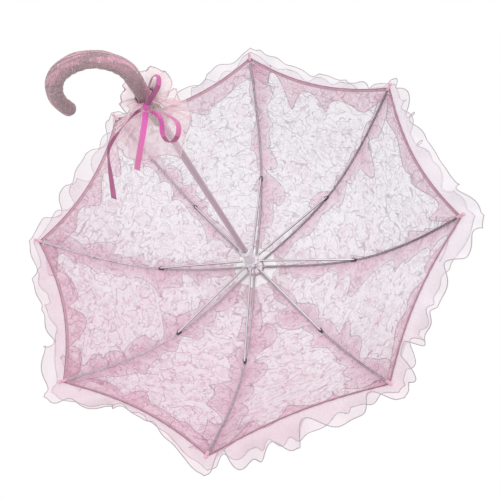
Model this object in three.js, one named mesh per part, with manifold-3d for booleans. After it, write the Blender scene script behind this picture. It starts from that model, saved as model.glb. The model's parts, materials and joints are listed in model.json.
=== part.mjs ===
// Lace parasol: eight curved ribs on a folding scissor frame, a tube shaft with
// two spring catches, a scalloped canopy with a flounced rim, and a covered crook
// handle with a two-tier frill and a ribbon bow.
// Millimetres, +Z up along the shaft. The origin is on the shaft's axis in the
// straight shank of the crook, where the hand holds it. The crook bends towards +X.
import * as THREE from "three";
import { mergeVertices } from "three/addons/utils/BufferGeometryUtils.js";
import Module from "manifold-3d";

const wasm = await Module();
wasm.setup();

// ---------- driving dimensions ----------
const GAP = 0.3; // clearance between neighbouring pieces
const Z_NOTCH = 430; // height of the ribs' pivot ring
const RIBS = 8;
const FIRST_RIB_DEG = 14.35; // azimuth of rib 1
const RING_R = 8; // radius of both pivot rings
const OPEN_R = 300; // radius at the rib ends
// rib curve: curvature rises linearly from the notch to the stretcher's pivot, then falls to zero at the tip
const RIB_LEN = 334.272;
const RIB_JOINT_S = 143.232; // where the stretcher joins, along the rib
const RIB_START_DEG = -4.1832; // the rib leaves the notch slightly upwards
const RIB_TURN_DEG = 51.3912; // total turn, notch to tip
const RIB_W = 2.4;
const RIB_H = 2.0;
const RIB_WALL = 0.5;
const PIVOT_DROP = 3.0; // the stretcher's pivot hangs this far below the rib's centre line
const RUNNER_W = 21.34; // runner's pivot ring below the notch's, canopy open
const EYE_R = 1.6;
const EYE_HOLE_R = 0.9;
const EYE_T = 1.0;
const WIRE_R = 0.5;
const SLOT_W = 1.8;
const SHAFT_R = 4.0;
const SHAFT_BORE_R = 3.4;
const SHAFT_TOP = 455.6;
const SHAFT_BOTTOM = 20.4;
const BORE_R = 4.3; // bores that run on the shaft
const CROWN_R = 11;
const SLEEVE_R = 7.6;
const RUNNER_END_W = 56; // lower end of the runner's sleeve below the notch ring
const RUNNER_TRAVEL = 241.8;
const CATCH_DEG = FIRST_RIB_DEG + 67.5; // both catches face this way, between two ribs
const CATCH_T = 1.2;
const CLOTH_T = 0.5;
const CLOTH_OFF = 2.1; // cloth's lower face above the ribs' centre line
const HEM_SAG = 21; // how far the rim curves in between two ribs, along the cloth
const FLOUNCE = 34; // width of the organza flounce outside the rim
const CROOK_R = 8.2;
const CROOK_BEND_R = 39.25;
const CROOK_TURN_DEG = 201.2;
const CROOK_BEND_Z = -14.5;
const CROOK_TOP = 58;
const TIE_Z = 17; // where the frill is tied round the handle

const rad = THREE.MathUtils.degToRad;

// ---------- materials ----------
const mat = (name, color, roughness, metalness = 0, opacity = 1) =>
  new THREE.MeshStandardMaterial({
    name,
    color,
    roughness,
    metalness,
    opacity,
    transparent: opacity < 1,
    side: THREE.DoubleSide,
  });
const M = {
  shaft: mat("shaft_paint", 0xaf9ba5, 0.35, 0.4),
  steel: mat("steel", 0xb9b6ba, 0.3, 0.9),
  dark: mat("dark_steel", 0x6a6467, 0.4, 0.8),
  plastic: mat("white_plastic", 0xf0ecef, 0.4, 0, 0.9),
  tip: mat("pink_plastic", 0xe2a9bd, 0.4),
  lace: mat("lace", 0xebdfe6, 0.9, 0, 0.6),
  rosette: mat("rosette", 0xf7f3f4, 0.6),
  cover: mat("handle_lace", 0xbf98a4, 0.7),
  organza: mat("organza", 0xf0cfd6, 0.7, 0, 0.5),
  ribbon: mat("ribbon", 0xd76eaa, 0.35),
};

// ---------- helpers ----------
function solid(g) {
  const bare = new THREE.BufferGeometry();
  bare.setAttribute("position", g.getAttribute("position").clone());
  if (g.index) bare.setIndex(g.index.clone());
  const m = mergeVertices(bare, 1e-4);
  const made = new wasm.Manifold(
    new wasm.Mesh({
      numProp: 3,
      vertProperties: new Float32Array(m.getAttribute("position").array),
      triVerts: new Uint32Array(m.index.array),
    }),
  );
  return made;
}

function geometryOf(s) {
  const m = s.getMesh();
  const n = m.numProp;
  const v = new Float32Array(m.numVert * 3);
  for (let i = 0; i < m.numVert; i++)
    v.set(m.vertProperties.subarray(i * n, i * n + 3), i * 3);
  const g = new THREE.BufferGeometry();
  g.setAttribute("position", new THREE.BufferAttribute(v, 3));
  g.setIndex(new THREE.BufferAttribute(new Uint32Array(m.triVerts), 1));
  g.computeVertexNormals();
  return g;
}

const join = (...gs) => gs.map(solid).reduce((a, b) => a.add(b));
const cut = (s, ...gs) => gs.map(solid).reduce((a, b) => a.subtract(b), s);

// Turns a solid's faces outwards when its mapping has mirrored them.
function outward(g) {
  const p = g.getAttribute("position");
  const idx = g.index.array;
  let v = 0;
  const a = new THREE.Vector3();
  const b = new THREE.Vector3();
  const c = new THREE.Vector3();
  for (let i = 0; i < idx.length; i += 3) {
    a.fromBufferAttribute(p, idx[i]);
    b.fromBufferAttribute(p, idx[i + 1]);
    c.fromBufferAttribute(p, idx[i + 2]);
    v += a.dot(b.cross(c));
  }
  if (v < 0)
    for (let i = 0; i < idx.length; i += 3)
      [idx[i + 1], idx[i + 2]] = [idx[i + 2], idx[i + 1]];
  return g;
}

// Moves every vertex of a closed geometry by fn(x, y, z) -> [x, y, z].
function mapped(g, fn) {
  const bare = new THREE.BufferGeometry();
  bare.setAttribute("position", g.getAttribute("position").clone());
  bare.setIndex(g.index.clone());
  // a sheet made from a box: both skins get the same diagonals, so they stay apart where the sheet is twisted
  if (g.type === "BoxGeometry") {
    const { start, count } = g.groups[5];
    for (let i = start; i < start + count; i += 6) {
      const [p, q, s, , r] = [0, 1, 2, 3, 4].map((j) => g.index.getX(i + j));
      [p, q, r, p, r, s].forEach((v, j) => bare.index.setX(i + j, v));
    }
  }
  const m = mergeVertices(bare, 1e-4);
  const p = m.getAttribute("position");
  for (let i = 0; i < p.count; i++)
    p.setXYZ(i, ...fn(p.getX(i), p.getY(i), p.getZ(i)));
  outward(m);
  m.computeVertexNormals();
  return m;
}

// A closed ring of revolution about Z from [r, z] points, in any order of turn.
function turned(points, segments) {
  const closed = [...points, points[0]].map(([r, z]) => new THREE.Vector2(r, z));
  const g = new THREE.LatheGeometry(closed, segments);
  g.rotateX(Math.PI / 2);
  return mapped(g, (x, y, z) => [x, y, z]);
}

// A solid of revolution whose profile starts and ends on the axis.
function turnedSolid(points, segments) {
  const g = new THREE.LatheGeometry(
    points.map(([r, z]) => new THREE.Vector2(r, z)),
    segments,
  );
  g.rotateX(Math.PI / 2);
  return mapped(g, (x, y, z) => [x, y, z]);
}

const cyl = (r, h, n = 12) => new THREE.CylinderGeometry(r, r, h, n); // along Y
const box = (x0, x1, y0, y1, z0, z1) =>
  new THREE.BoxGeometry(x1 - x0, y1 - y0, z1 - z0).translate(
    (x0 + x1) / 2,
    (y0 + y1) / 2,
    (z0 + z1) / 2,
  );

const smooth = (a, b, x) => {
  const t = Math.min(1, Math.max(0, (x - a) / (b - a)));
  return t * t * (3 - 2 * t);
};

const root = new THREE.Group();
root.name = "lace_parasol";
function add(name, geometry, material, azimuth = 0, z = 0, parent = root) {
  const m = new THREE.Mesh(geometry, material.clone());
  m.name = name;
  m.rotation.z = rad(azimuth);
  m.position.z = z;
  parent.add(m);
  return m;
}

// ---------- rib curve ----------
const K0 = (2 * rad(RIB_TURN_DEG)) / RIB_LEN;
const ribTable = (() => {
  const n = 1200;
  const out = [];
  let a = rad(RIB_START_DEG);
  let r = RING_R;
  let w = 0;
  const ds = RIB_LEN / n;
  const kap = (s) =>
    s <= RIB_JOINT_S
      ? (K0 * s) / RIB_JOINT_S
      : (K0 * (RIB_LEN - s)) / (RIB_LEN - RIB_JOINT_S);
  for (let i = 0; i <= n; i++) {
    const s = i * ds;
    out.push([r, w, a]);
    const am = a + (kap(s) * ds) / 2;
    r += Math.cos(am) * ds;
    w += Math.sin(am) * ds;
    a += kap(s + ds / 2) * ds;
  }
  return out;
})();
// radius, depth below the notch ring and slope at arc length s
function ribAt(s) {
  const n = ribTable.length - 1;
  const t = Math.min(n, Math.max(0, (s / RIB_LEN) * n));
  const i = Math.min(n - 1, Math.floor(t));
  const f = t - i;
  return ribTable[i].map((v, k) => v + (ribTable[i + 1][k] - v) * f);
}
const [JR, JW, JA] = ribAt(RIB_JOINT_S);
const PIVOT = [JR - PIVOT_DROP * Math.sin(JA), JW + PIVOT_DROP * Math.cos(JA)];

class RibCurve extends THREE.Curve {
  constructor(s0, s1) {
    super();
    this.s0 = s0;
    this.s1 = s1;
  }
  getPoint(t, target = new THREE.Vector3()) {
    const [r, w] = ribAt(this.s0 + (this.s1 - this.s0) * t);
    return target.set(r, 0, -w);
  }
}

// U-channel section, closed face first along +y of the shape
function channelShape(w, h, wall, flip) {
  const k = flip ? -1 : 1;
  const pts = [
    [-w / 2, (-h / 2) * k],
    [w / 2, (-h / 2) * k],
    [w / 2, (h / 2) * k],
    [w / 2 - wall, (h / 2) * k],
    [w / 2 - wall, (-h / 2 + wall) * k],
    [-w / 2 + wall, (-h / 2 + wall) * k],
    [-w / 2 + wall, (h / 2) * k],
    [-w / 2, (h / 2) * k],
  ].map(([x, y]) => new THREE.Vector2(x, y));
  if (flip) pts.reverse();
  return new THREE.Shape(pts);
}

function ribSolid() {
  const channel = new THREE.ExtrudeGeometry(
    channelShape(RIB_W, RIB_H, RIB_WALL, false),
    {
      extrudePath: new RibCurve(5.2, RIB_LEN - 1.2),
      steps: 13,
      bevelEnabled: false,
    },
  );
  const tab = box(0, 3.6, -EYE_T / 2, EYE_T / 2, -0.8, 0.8)
    .rotateY(rad(RIB_START_DEG))
    .translate(RING_R, 0, 0);
  const tab2 = box(3.2, 9, -EYE_T / 2, EYE_T / 2, -0.7, 0.75)
    .rotateY(rad(RIB_START_DEG + 0.3))
    .translate(RING_R, 0, 0);
  const eye = cyl(EYE_R, EYE_T, 10).translate(RING_R, 0, 0);
  // crimped joiner with two cheeks that carry the stretcher's pin
  const parts = [channel, tab, tab2, eye];
  for (const side of [-1, 1]) {
    const y0 = side > 0 ? 1.15 : -1.8;
    const y1 = side > 0 ? 1.8 : -1.15;
    parts.push(
      box(-1.8, 1.8, y0, y1, -PIVOT_DROP, 0.7).rotateY(JA).translate(JR, 0, -JW),
      cyl(1.8, 0.65, 8)
        .rotateY(JA)
        .translate(PIVOT[0], (y0 + y1) / 2, -PIVOT[1]),
    );
  }
  // the crimp wraps over the channel's closed face
  parts.push(
    box(-2.6, 2.6, -1.8, 1.8, 0.6, 1.25).rotateY(JA).translate(JR, 0, -JW),
  );
  let s = join(...parts);
  s = cut(
    s,
    cyl(EYE_HOLE_R, 4, 8).translate(RING_R, 0, 0),
    cyl(EYE_HOLE_R, 8, 8).translate(PIVOT[0], 0, -PIVOT[1]),
  );
  return geometryOf(s);
}

function stretcherSolid() {
  const dx = PIVOT[0] - RING_R;
  const dz = RUNNER_W - PIVOT[1];
  const len = Math.hypot(dx, dz);
  const channel = new THREE.ExtrudeGeometry(
    channelShape(RIB_W, RIB_H, RIB_WALL, true),
    { depth: len - 11, bevelEnabled: false, steps: 1 },
  );
  // the extrusion runs along +X and its open face looks up
  channel.rotateZ(Math.PI).rotateX(Math.PI / 2).rotateZ(Math.PI / 2);
  channel.computeBoundingBox();
  channel.translate(5.5 - channel.boundingBox.min.x, 0, 0);
  const parts = [
    channel,
    cyl(EYE_R, EYE_T, 10),
    box(0, 9, -EYE_T / 2, EYE_T / 2, -0.75, 0.75),
    cyl(1.5, 1.8, 10).translate(len, 0, 0),
    box(len - 9, len, -0.9, 0.9, -0.75, 0.75),
  ];
  let s = join(...parts);
  s = cut(
    s,
    cyl(EYE_HOLE_R, 4, 8),
    cyl(EYE_HOLE_R, 4, 8).translate(len, 0, 0),
  );
  const g = geometryOf(s);
  g.rotateY(-Math.atan2(dz, dx));
  g.translate(RING_R, 0, -RUNNER_W);
  return g;
}

function pinSolid() {
  const g = turnedSolid(
    [
      [0, -2.6],
      [1.2, -2.6],
      [1.2, -2.1],
      [0.6, -2.1],
      [0.6, 2.1],
      [1.2, 2.1],
      [1.2, 2.6],
      [0, 2.6],
    ],
    8,
  );
  g.rotateX(Math.PI / 2).translate(PIVOT[0], 0, -PIVOT[1]);
  return g;
}

// plastic cap over the rib's end, with a ball
function tipSolid() {
  const [r, w, a] = ribAt(RIB_LEN);
  const g = turnedSolid(
    [
      [0, 0.6],
      [1.78, 0.6],
      [1.78, -5.5],
      [2.3, -5.5],
      [2.3, 1.0],
      [1.5, 1.8],
      [2.4, 3.2],
      [2.4, 5.2],
      [1.3, 6.6],
      [0, 6.9],
    ],
    10,
  );
  // the cap's axis along the rib's end
  g.rotateY(Math.PI / 2 + a).translate(r, 0, -w);
  return g;
}

const ribG = ribSolid();
const stretcherG = stretcherSolid();
const pinG = pinSolid();
const tipG = tipSolid();

// ---------- canopy ----------
// stations along the rib's plane: [radius, depth] of the cloth's lower face, then its normal
function clothStation(s, off) {
  const [r, w, a] = ribAt(s);
  return [r + off * Math.sin(a), w - off * Math.cos(a), Math.sin(a), -Math.cos(a)];
}
function clothRow(v, u) {
  // v runs 0..1 over the panel, 1..2 over the flounce
  const dip = 4 * u * (1 - u);
  const sEnd = RIB_LEN - 1.5 - HEM_SAG * dip;
  if (v <= 1) {
    const s = v * sEnd;
    if (s < 22) {
      const t = s / 22;
      return [5.4 + (30 - 5.4) * t, -5.4 + 0.5 * smooth(0.4, 1, t), 0, -1];
    }
    const off =
      CLOTH_OFF +
      1.0 * (1 - smooth(22, 60, s)) +
      1.0 * smooth(RIB_LEN - 60, RIB_LEN - 26, s);
    return clothStation(s, off);
  }
  const base = clothStation(sEnd, CLOTH_OFF + 1.0);
  const t = v - 1;
  const dir = rad(18);
  const wave = 3.2 * t * Math.sin(u * Math.PI * 6);
  return [
    base[0] + FLOUNCE * t * Math.cos(dir),
    base[1] + FLOUNCE * t * Math.sin(dir) + wave - 2.0 * t,
    Math.sin(dir),
    -Math.cos(dir),
  ];
}
function goreSolid() {
  const NU = 8;
  const panel = 11;
  const fl = 2;
  const g = new THREE.BoxGeometry(1, 1, 1, NU, panel + fl, 1);
  return mapped(g, (x, y, z) => {
    const u = x + 0.5;
    const k = (y + 0.5) * (panel + fl);
    const v = k <= panel ? k / panel : 1 + (k - panel) / fl;
    const [r, w, nr, nw] = clothRow(v, u);
    const t = (z + 0.5) * CLOTH_T;
    const rr = r + nr * t;
    const ww = w + nw * t;
    // straight chord between the two rib planes, ends drawn in by the seam gap
    const half = Math.PI / RIBS;
    const chord = 2 * rr * Math.sin(half);
    const q = (u - 0.5) * (chord - 0.5);
    const along = rr * Math.cos(half);
    // small inward sag of the panel between the ribs
    const sag = 3.0 * Math.sin(Math.PI * u) * Math.min(1, v) * smooth(40, 160, rr);
    const c = Math.cos(half);
    const sn = Math.sin(half);
    // local frame: X along rib k, the gore turns towards +azimuth
    return [along * c - q * sn - 0, along * sn + q * c, -(ww + sag)];
  });
}
const goreG = goreSolid();

// ---------- frame, eight times ----------
for (let k = 0; k < RIBS; k++) {
  const az = FIRST_RIB_DEG + (360 / RIBS) * k;
  const n = k + 1;
  add("rib_" + n, ribG, M.steel, az, Z_NOTCH);
  add("stretcher_" + n, stretcherG, M.steel, az, Z_NOTCH);
  add("joint_pin_" + n, pinG, M.dark, az, Z_NOTCH);
  add("rib_tip_" + n, tipG, M.tip, az, Z_NOTCH);
  add("canopy_gore_" + n, goreG, M.lace, az, Z_NOTCH);
}

// ---------- notch, runner and their wires ----------
const slots = (z0, z1, r0) => {
  const out = [];
  for (let k = 0; k < RIBS; k++)
    out.push(
      box(r0, CROWN_R + 2, -SLOT_W / 2, SLOT_W / 2, z0, z1).rotateZ(
        (k * 2 * Math.PI) / RIBS,
      ),
    );
  return out;
};
const groove = () => new THREE.TorusGeometry(RING_R, WIRE_R + GAP, 8, 24);

const notch = cut(
  solid(
    turned(
      [
        [BORE_R, -2.2],
        [CROWN_R - 1, -2.2],
        [CROWN_R, -1.4],
        [CROWN_R, 4.2],
        [CROWN_R - 1, 5.0],
        [BORE_R, 5.0],
      ],
      24,
    ),
  ),
  ...slots(-3, 3.2, 6.2),
  groove(),
);
add("top_notch", geometryOf(notch), M.plastic, FIRST_RIB_DEG, Z_NOTCH);
const wire = new THREE.TorusGeometry(RING_R, WIRE_R, 6, 24);
add("notch_wire", mapped(wire, (x, y, z) => [x, y, z]), M.dark, FIRST_RIB_DEG, Z_NOTCH);

const runner = cut(
  solid(
    turned(
      [
        [BORE_R, 2.2],
        [CROWN_R - 1, 2.2],
        [CROWN_R, 1.4],
        [CROWN_R, -2.4],
        [CROWN_R - 1, -3.2],
        [SLEEVE_R, -4.4],
        [SLEEVE_R, -29],
        [SLEEVE_R + 1.2, -30.5],
        [SLEEVE_R + 1.2, RUNNER_W - RUNNER_END_W + 0.8],
        [SLEEVE_R + 0.4, RUNNER_W - RUNNER_END_W],
        [BORE_R, RUNNER_W - RUNNER_END_W],
      ],
      24,
    ),
  ),
  ...slots(-3.3, 3, 6.2),
  groove(),
  // keyway that lets the sleeve pass over the two catches
  box(0, 6.6, -1.1, 1.1, -60, 10).rotateZ(rad(CATCH_DEG - FIRST_RIB_DEG)),
);
add("runner", geometryOf(runner), M.plastic, FIRST_RIB_DEG, Z_NOTCH - RUNNER_W);
add("runner_wire", mapped(wire, (x, y, z) => [x, y, z]), M.dark, FIRST_RIB_DEG, Z_NOTCH - RUNNER_W);

// ---------- rosette under the crown of the canopy: eight petals ----------
const rosette = turned(
  [
    [11.6, -0.25],
    [22, -0.25],
    [31.5, -0.25],
    [31.5, 0.25],
    [22, 0.25],
    [11.6, 0.25],
  ],
  32,
);
add(
  "inner_rosette",
  mapped(rosette, (x, y, z) => {
    const r = Math.hypot(x, y);
    const a = Math.atan2(y, x);
    const k = smooth(14, 31.5, r);
    const petal = 1 + k * 0.07 * Math.abs(Math.sin((a * RIBS) / 2)) ;
    return [x * petal, y * petal, z];
  }),
  M.rosette,
  FIRST_RIB_DEG,
  Z_NOTCH + 3.15,
);

// ---------- shaft ----------
const CATCH_TOP_1 = Z_NOTCH - RUNNER_END_W - GAP;
const CATCH_TOP_2 = CATCH_TOP_1 - RUNNER_TRAVEL;
const PIN_Z = Z_NOTCH - RUNNER_W + 2.2 + 0.4 + 0.7;
const shaftSlot = (zTop) =>
  box(2.2, 6, -0.95, 0.95, zTop - 13, zTop + 1.6).rotateZ(rad(CATCH_DEG));
const tube = cut(
  solid(
    turned(
      [
        [SHAFT_BORE_R, SHAFT_BOTTOM],
        [SHAFT_R, SHAFT_BOTTOM],
        [SHAFT_R, SHAFT_TOP],
        [SHAFT_BORE_R, SHAFT_TOP],
      ],
      24,
    ),
  ),
  shaftSlot(CATCH_TOP_1),
  shaftSlot(CATCH_TOP_2),
  cyl(1.0, 20, 10).translate(0, 0, PIN_Z),
);
add("shaft_tube", geometryOf(tube), M.shaft);
add(
  "stop_pin",
  turnedSolid(
    [
      [0, -5.6],
      [0.7, -5.6],
      [0.7, 5.6],
      [0, 5.6],
    ],
    10,
  ).rotateX(Math.PI / 2),
  M.dark,
  0,
  PIN_Z,
);

// spring catch: a flat blade that hinges in the tube and pokes out through a slot
const CATCH_PIVOT = [0.4, -13];
function catchSolid() {
  const shape = new THREE.Shape(
    [
      [1.5, 0],
      [6.2, 0],
      [6.2, -1.2],
      [2.4, -14.4],
      [-1.2, -14.4],
      [-1.2, -11.5],
    ]
      .reverse()
      .map(([x, y]) => new THREE.Vector2(x, y)),
  );
  const g = new THREE.ExtrudeGeometry(shape, {
    depth: CATCH_T,
    bevelEnabled: false,
  });
  g.translate(0, 0, -CATCH_T / 2).rotateX(Math.PI / 2);
  return geometryOf(solid(g));
}
const catchG = catchSolid();
add("top_catch", catchG, M.steel, CATCH_DEG, CATCH_TOP_1);
add("hand_catch", catchG, M.steel, CATCH_DEG, CATCH_TOP_2);

// ---------- ferrule on top ----------
add(
  "ferrule",
  turned(
    [
      [BORE_R + 0.05, 437.2],
      [13.4, 437.2],
      [13.6, 438.6],
      [8.4, 440.6],
      [6.0, 444.5],
      [5.2, 452],
      [4.6, 468.6],
      [3.9, 470],
      [0.0001, 470],
      [0.0001, 456],
      [BORE_R + 0.05, 456],
    ],
    24,
  ),
  M.plastic,
);

// ---------- crook handle ----------
// a rounded rod bent along the handle's line, thinning a little to its end
const arcLen = CROOK_BEND_R * rad(CROOK_TURN_DEG);
const straight = CROOK_TOP - CROOK_BEND_Z;
const total = straight + arcLen;
function crookPoint(d) {
  if (d <= straight) return [0, CROOK_TOP - d, 0];
  const a = (d - straight) / CROOK_BEND_R;
  return [
    CROOK_BEND_R * (1 - Math.cos(a)),
    CROOK_BEND_Z - CROOK_BEND_R * Math.sin(a),
    a,
  ];
}
const rod = (() => {
  const pts = [[0, 0]];
  pts.push([CROOK_R - 1.6, 0], [CROOK_R, 1.8]);
  for (const d of [18, 40, straight - 8]) pts.push([CROOK_R, d]);
  const n = 18;
  for (let i = 0; i <= n; i++) {
    const d = straight + (arcLen * i) / n;
    pts.push([CROOK_R - 0.4 * (i / n), d]);
  }
  for (const [f, q] of [
    [0.82, 0.57],
    [0.5, 0.87],
  ])
    pts.push([(CROOK_R - 0.4) * f, total + (CROOK_R - 0.4) * q * 0.95]);
  pts.push([0, total + (CROOK_R - 0.4) * 0.95]);
  const g = new THREE.LatheGeometry(
    pts.map(([r, d]) => new THREE.Vector2(r, d)),
    18,
  );
  return mapped(g, (x, y, z) => {
    const d = Math.min(y, total);
    const over = y - d;
    const [px, pz, a] = crookPoint(d);
    // tangent of the line, pointing towards the crook's end
    const tx = Math.sin(a);
    const tz = -Math.cos(a);
    // section axes: outward of the bend, and Y
    const nx = -Math.cos(a);
    const nz = -Math.sin(a);
    return [px + nx * x + tx * over, z, pz + nz * x + tz * over];
  });
})();
add(
  "handle_crook",
  geometryOf(
    cut(
      solid(rod),
      new THREE.CylinderGeometry(BORE_R + 0.05, BORE_R + 0.05, 60, 20)
        .rotateX(Math.PI / 2)
        .translate(0, 0, 50),
    ),
  ),
  M.cover,
);

// ---------- frill: two flared tiers that are tied to the handle ----------
function tier(profile, lobes, ampR, ampZ, skew, phase) {
  const t = 0.8;
  const inner = profile.map(([r, z]) => [r, z]);
  const outer = profile
    .map(([r, z], i) => {
      const a = profile[Math.max(0, i - 1)];
      const b = profile[Math.min(profile.length - 1, i + 1)];
      const dx = b[0] - a[0];
      const dz = b[1] - a[1];
      const l = Math.hypot(dx, dz);
      return [r - (dz / l) * t * Math.sign(dz) * -1, z - Math.abs(dx / l) * t * Math.sign(dz)];
    })
    .reverse();
  const r0 = profile[0][0];
  const r1 = profile[profile.length - 1][0];
  const g = turned([...inner, ...outer], 42);
  return mapped(g, (x, y, z) => {
    const r = Math.hypot(x, y);
    const a = Math.atan2(y, x);
    const k = smooth(r0, r1, r);
    const f =
      1 +
      k * (skew * Math.cos(a - rad(9)) + (ampR / r1) * Math.sin(lobes * a + phase));
    return [x * f, y * f, z + k * ampZ * Math.sin(lobes * a + phase + 1.1)];
  });
}
add(
  "frill_lower",
  tier(
    [
      [9.3, TIE_Z + 2],
      [9.6, TIE_Z + 8],
      [14, TIE_Z + 16],
      [26, TIE_Z + 30],
      [43, TIE_Z + 46],
    ],
    7,
    3.0,
    3.5,
    0.14,
    0.4,
  ),
  M.organza,
);
// the upper tier is open in front, where the knot sits
add(
  "frill_upper",
  geometryOf(
    cut(
      solid(
        tier(
          [
            [9.3, TIE_Z - 0.5],
            [12, TIE_Z - 3.5],
            [20, TIE_Z - 6],
            [28, TIE_Z - 6.5],
          ],
          6,
          2.0,
          2.0,
          0.05,
          2.0,
        ),
      ),
      box(5, 45, -15, 14, -20, 30).rotateZ(rad(252)),
    ),
  ),
  M.organza,
);

// ---------- ribbon bow ----------
// a flat band along a smooth line; its width lies along the given side direction
function band(points, side, width, thick, steps) {
  const curve = new THREE.CatmullRomCurve3(
    points.map((p) => new THREE.Vector3(...p)),
  );
  const sideV = new THREE.Vector3(...side).normalize();
  const g = new THREE.BoxGeometry(1, 1, 1, 1, steps, 1);
  return mapped(g, (x, y, z) => {
    const t = y + 0.5;
    const c = curve.getPointAt(t);
    const tan = curve.getTangentAt(t);
    const across = sideV
      .clone()
      .addScaledVector(tan, -sideV.dot(tan))
      .normalize();
    const normal = new THREE.Vector3().crossVectors(tan, across).normalize();
    c.addScaledVector(across, x * width).addScaledVector(normal, z * thick);
    return [c.x, c.y, c.z];
  });
}
const RIBBON_W = 6;
const RIBBON_T = 0.6;
const knot = new THREE.SphereGeometry(1, 14, 10);
add(
  "bow_knot",
  mapped(knot, (x, y, z) => [x * 3.4, -15.2 + y * 3.0, 15.6 + z * 4.6]),
  M.ribbon,
);
const SIDE_FACE = [-0.9483, -0.1566, 0.2761];
add(
  "bow_tail_left",
  band(
    [
      [6.2, -17.0, 15.6],
      [13.2, -19.2, 16.3],
      [25.9, -26.4, 19.0],
      [40.7, -35.9, 23.3],
      [48.3, -43.1, 27.6],
      [51.3, -51.1, 32.8],
      [53.5, -67.6, 40.6],
      [56.3, -86.2, 50.7],
    ],
    [-0.6, 0.35, 0.2],
    RIBBON_W,
    RIBBON_T,
    14,
  ),
  M.ribbon,
);
add(
  "bow_tail_centre",
  band(
    [
      [2.0, -19.6, 19.4],
      [7.1, -32.9, 23.8],
      [14.8, -48.6, 30.4],
      [24.8, -68.5, 39.7],
    ],
    SIDE_FACE,
    RIBBON_W,
    RIBBON_T,
    8,
  ),
  M.ribbon,
);
add(
  "bow_loop_upper",
  band(
    [
      [-4.0, -16.4, 12.2],
      [-13.2, -13.0, 5.5],
      [-21.0, -7.0, 1.5],
      [-23.0, -2.5, -3.5],
      [-19.5, -3.5, -8.5],
      [-14.5, -11.0, -6.5],
      [-10.0, -15.5, 0.5],
      [-3.8, -17.6, 8.6],
    ],
    [0.3, 0.75, 0.6],
    RIBBON_W,
    RIBBON_T,
    20,
  ),
  M.ribbon,
);
add(
  "bow_loop_lower",
  band(
    [
      [-4.2, -18.8, 21.0],
      [-9.0, -22.5, 26.5],
      [-8.8, -29.0, 31.1],
      [-7.6, -38.8, 34.3],
      [-11.8, -49.1, 36.9],
      [-19.6, -51.8, 35.3],
      [-27.3, -45.7, 30.6],
      [-28.5, -37.3, 26.2],
      [-19.7, -28.0, 21.5],
      [-6.0, -20.0, 16.2],
    ],
    [0.35, 0.2, 0.9],
    RIBBON_W,
    RIBBON_T,
    24,
  ),
  M.ribbon,
);

export default root;
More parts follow.
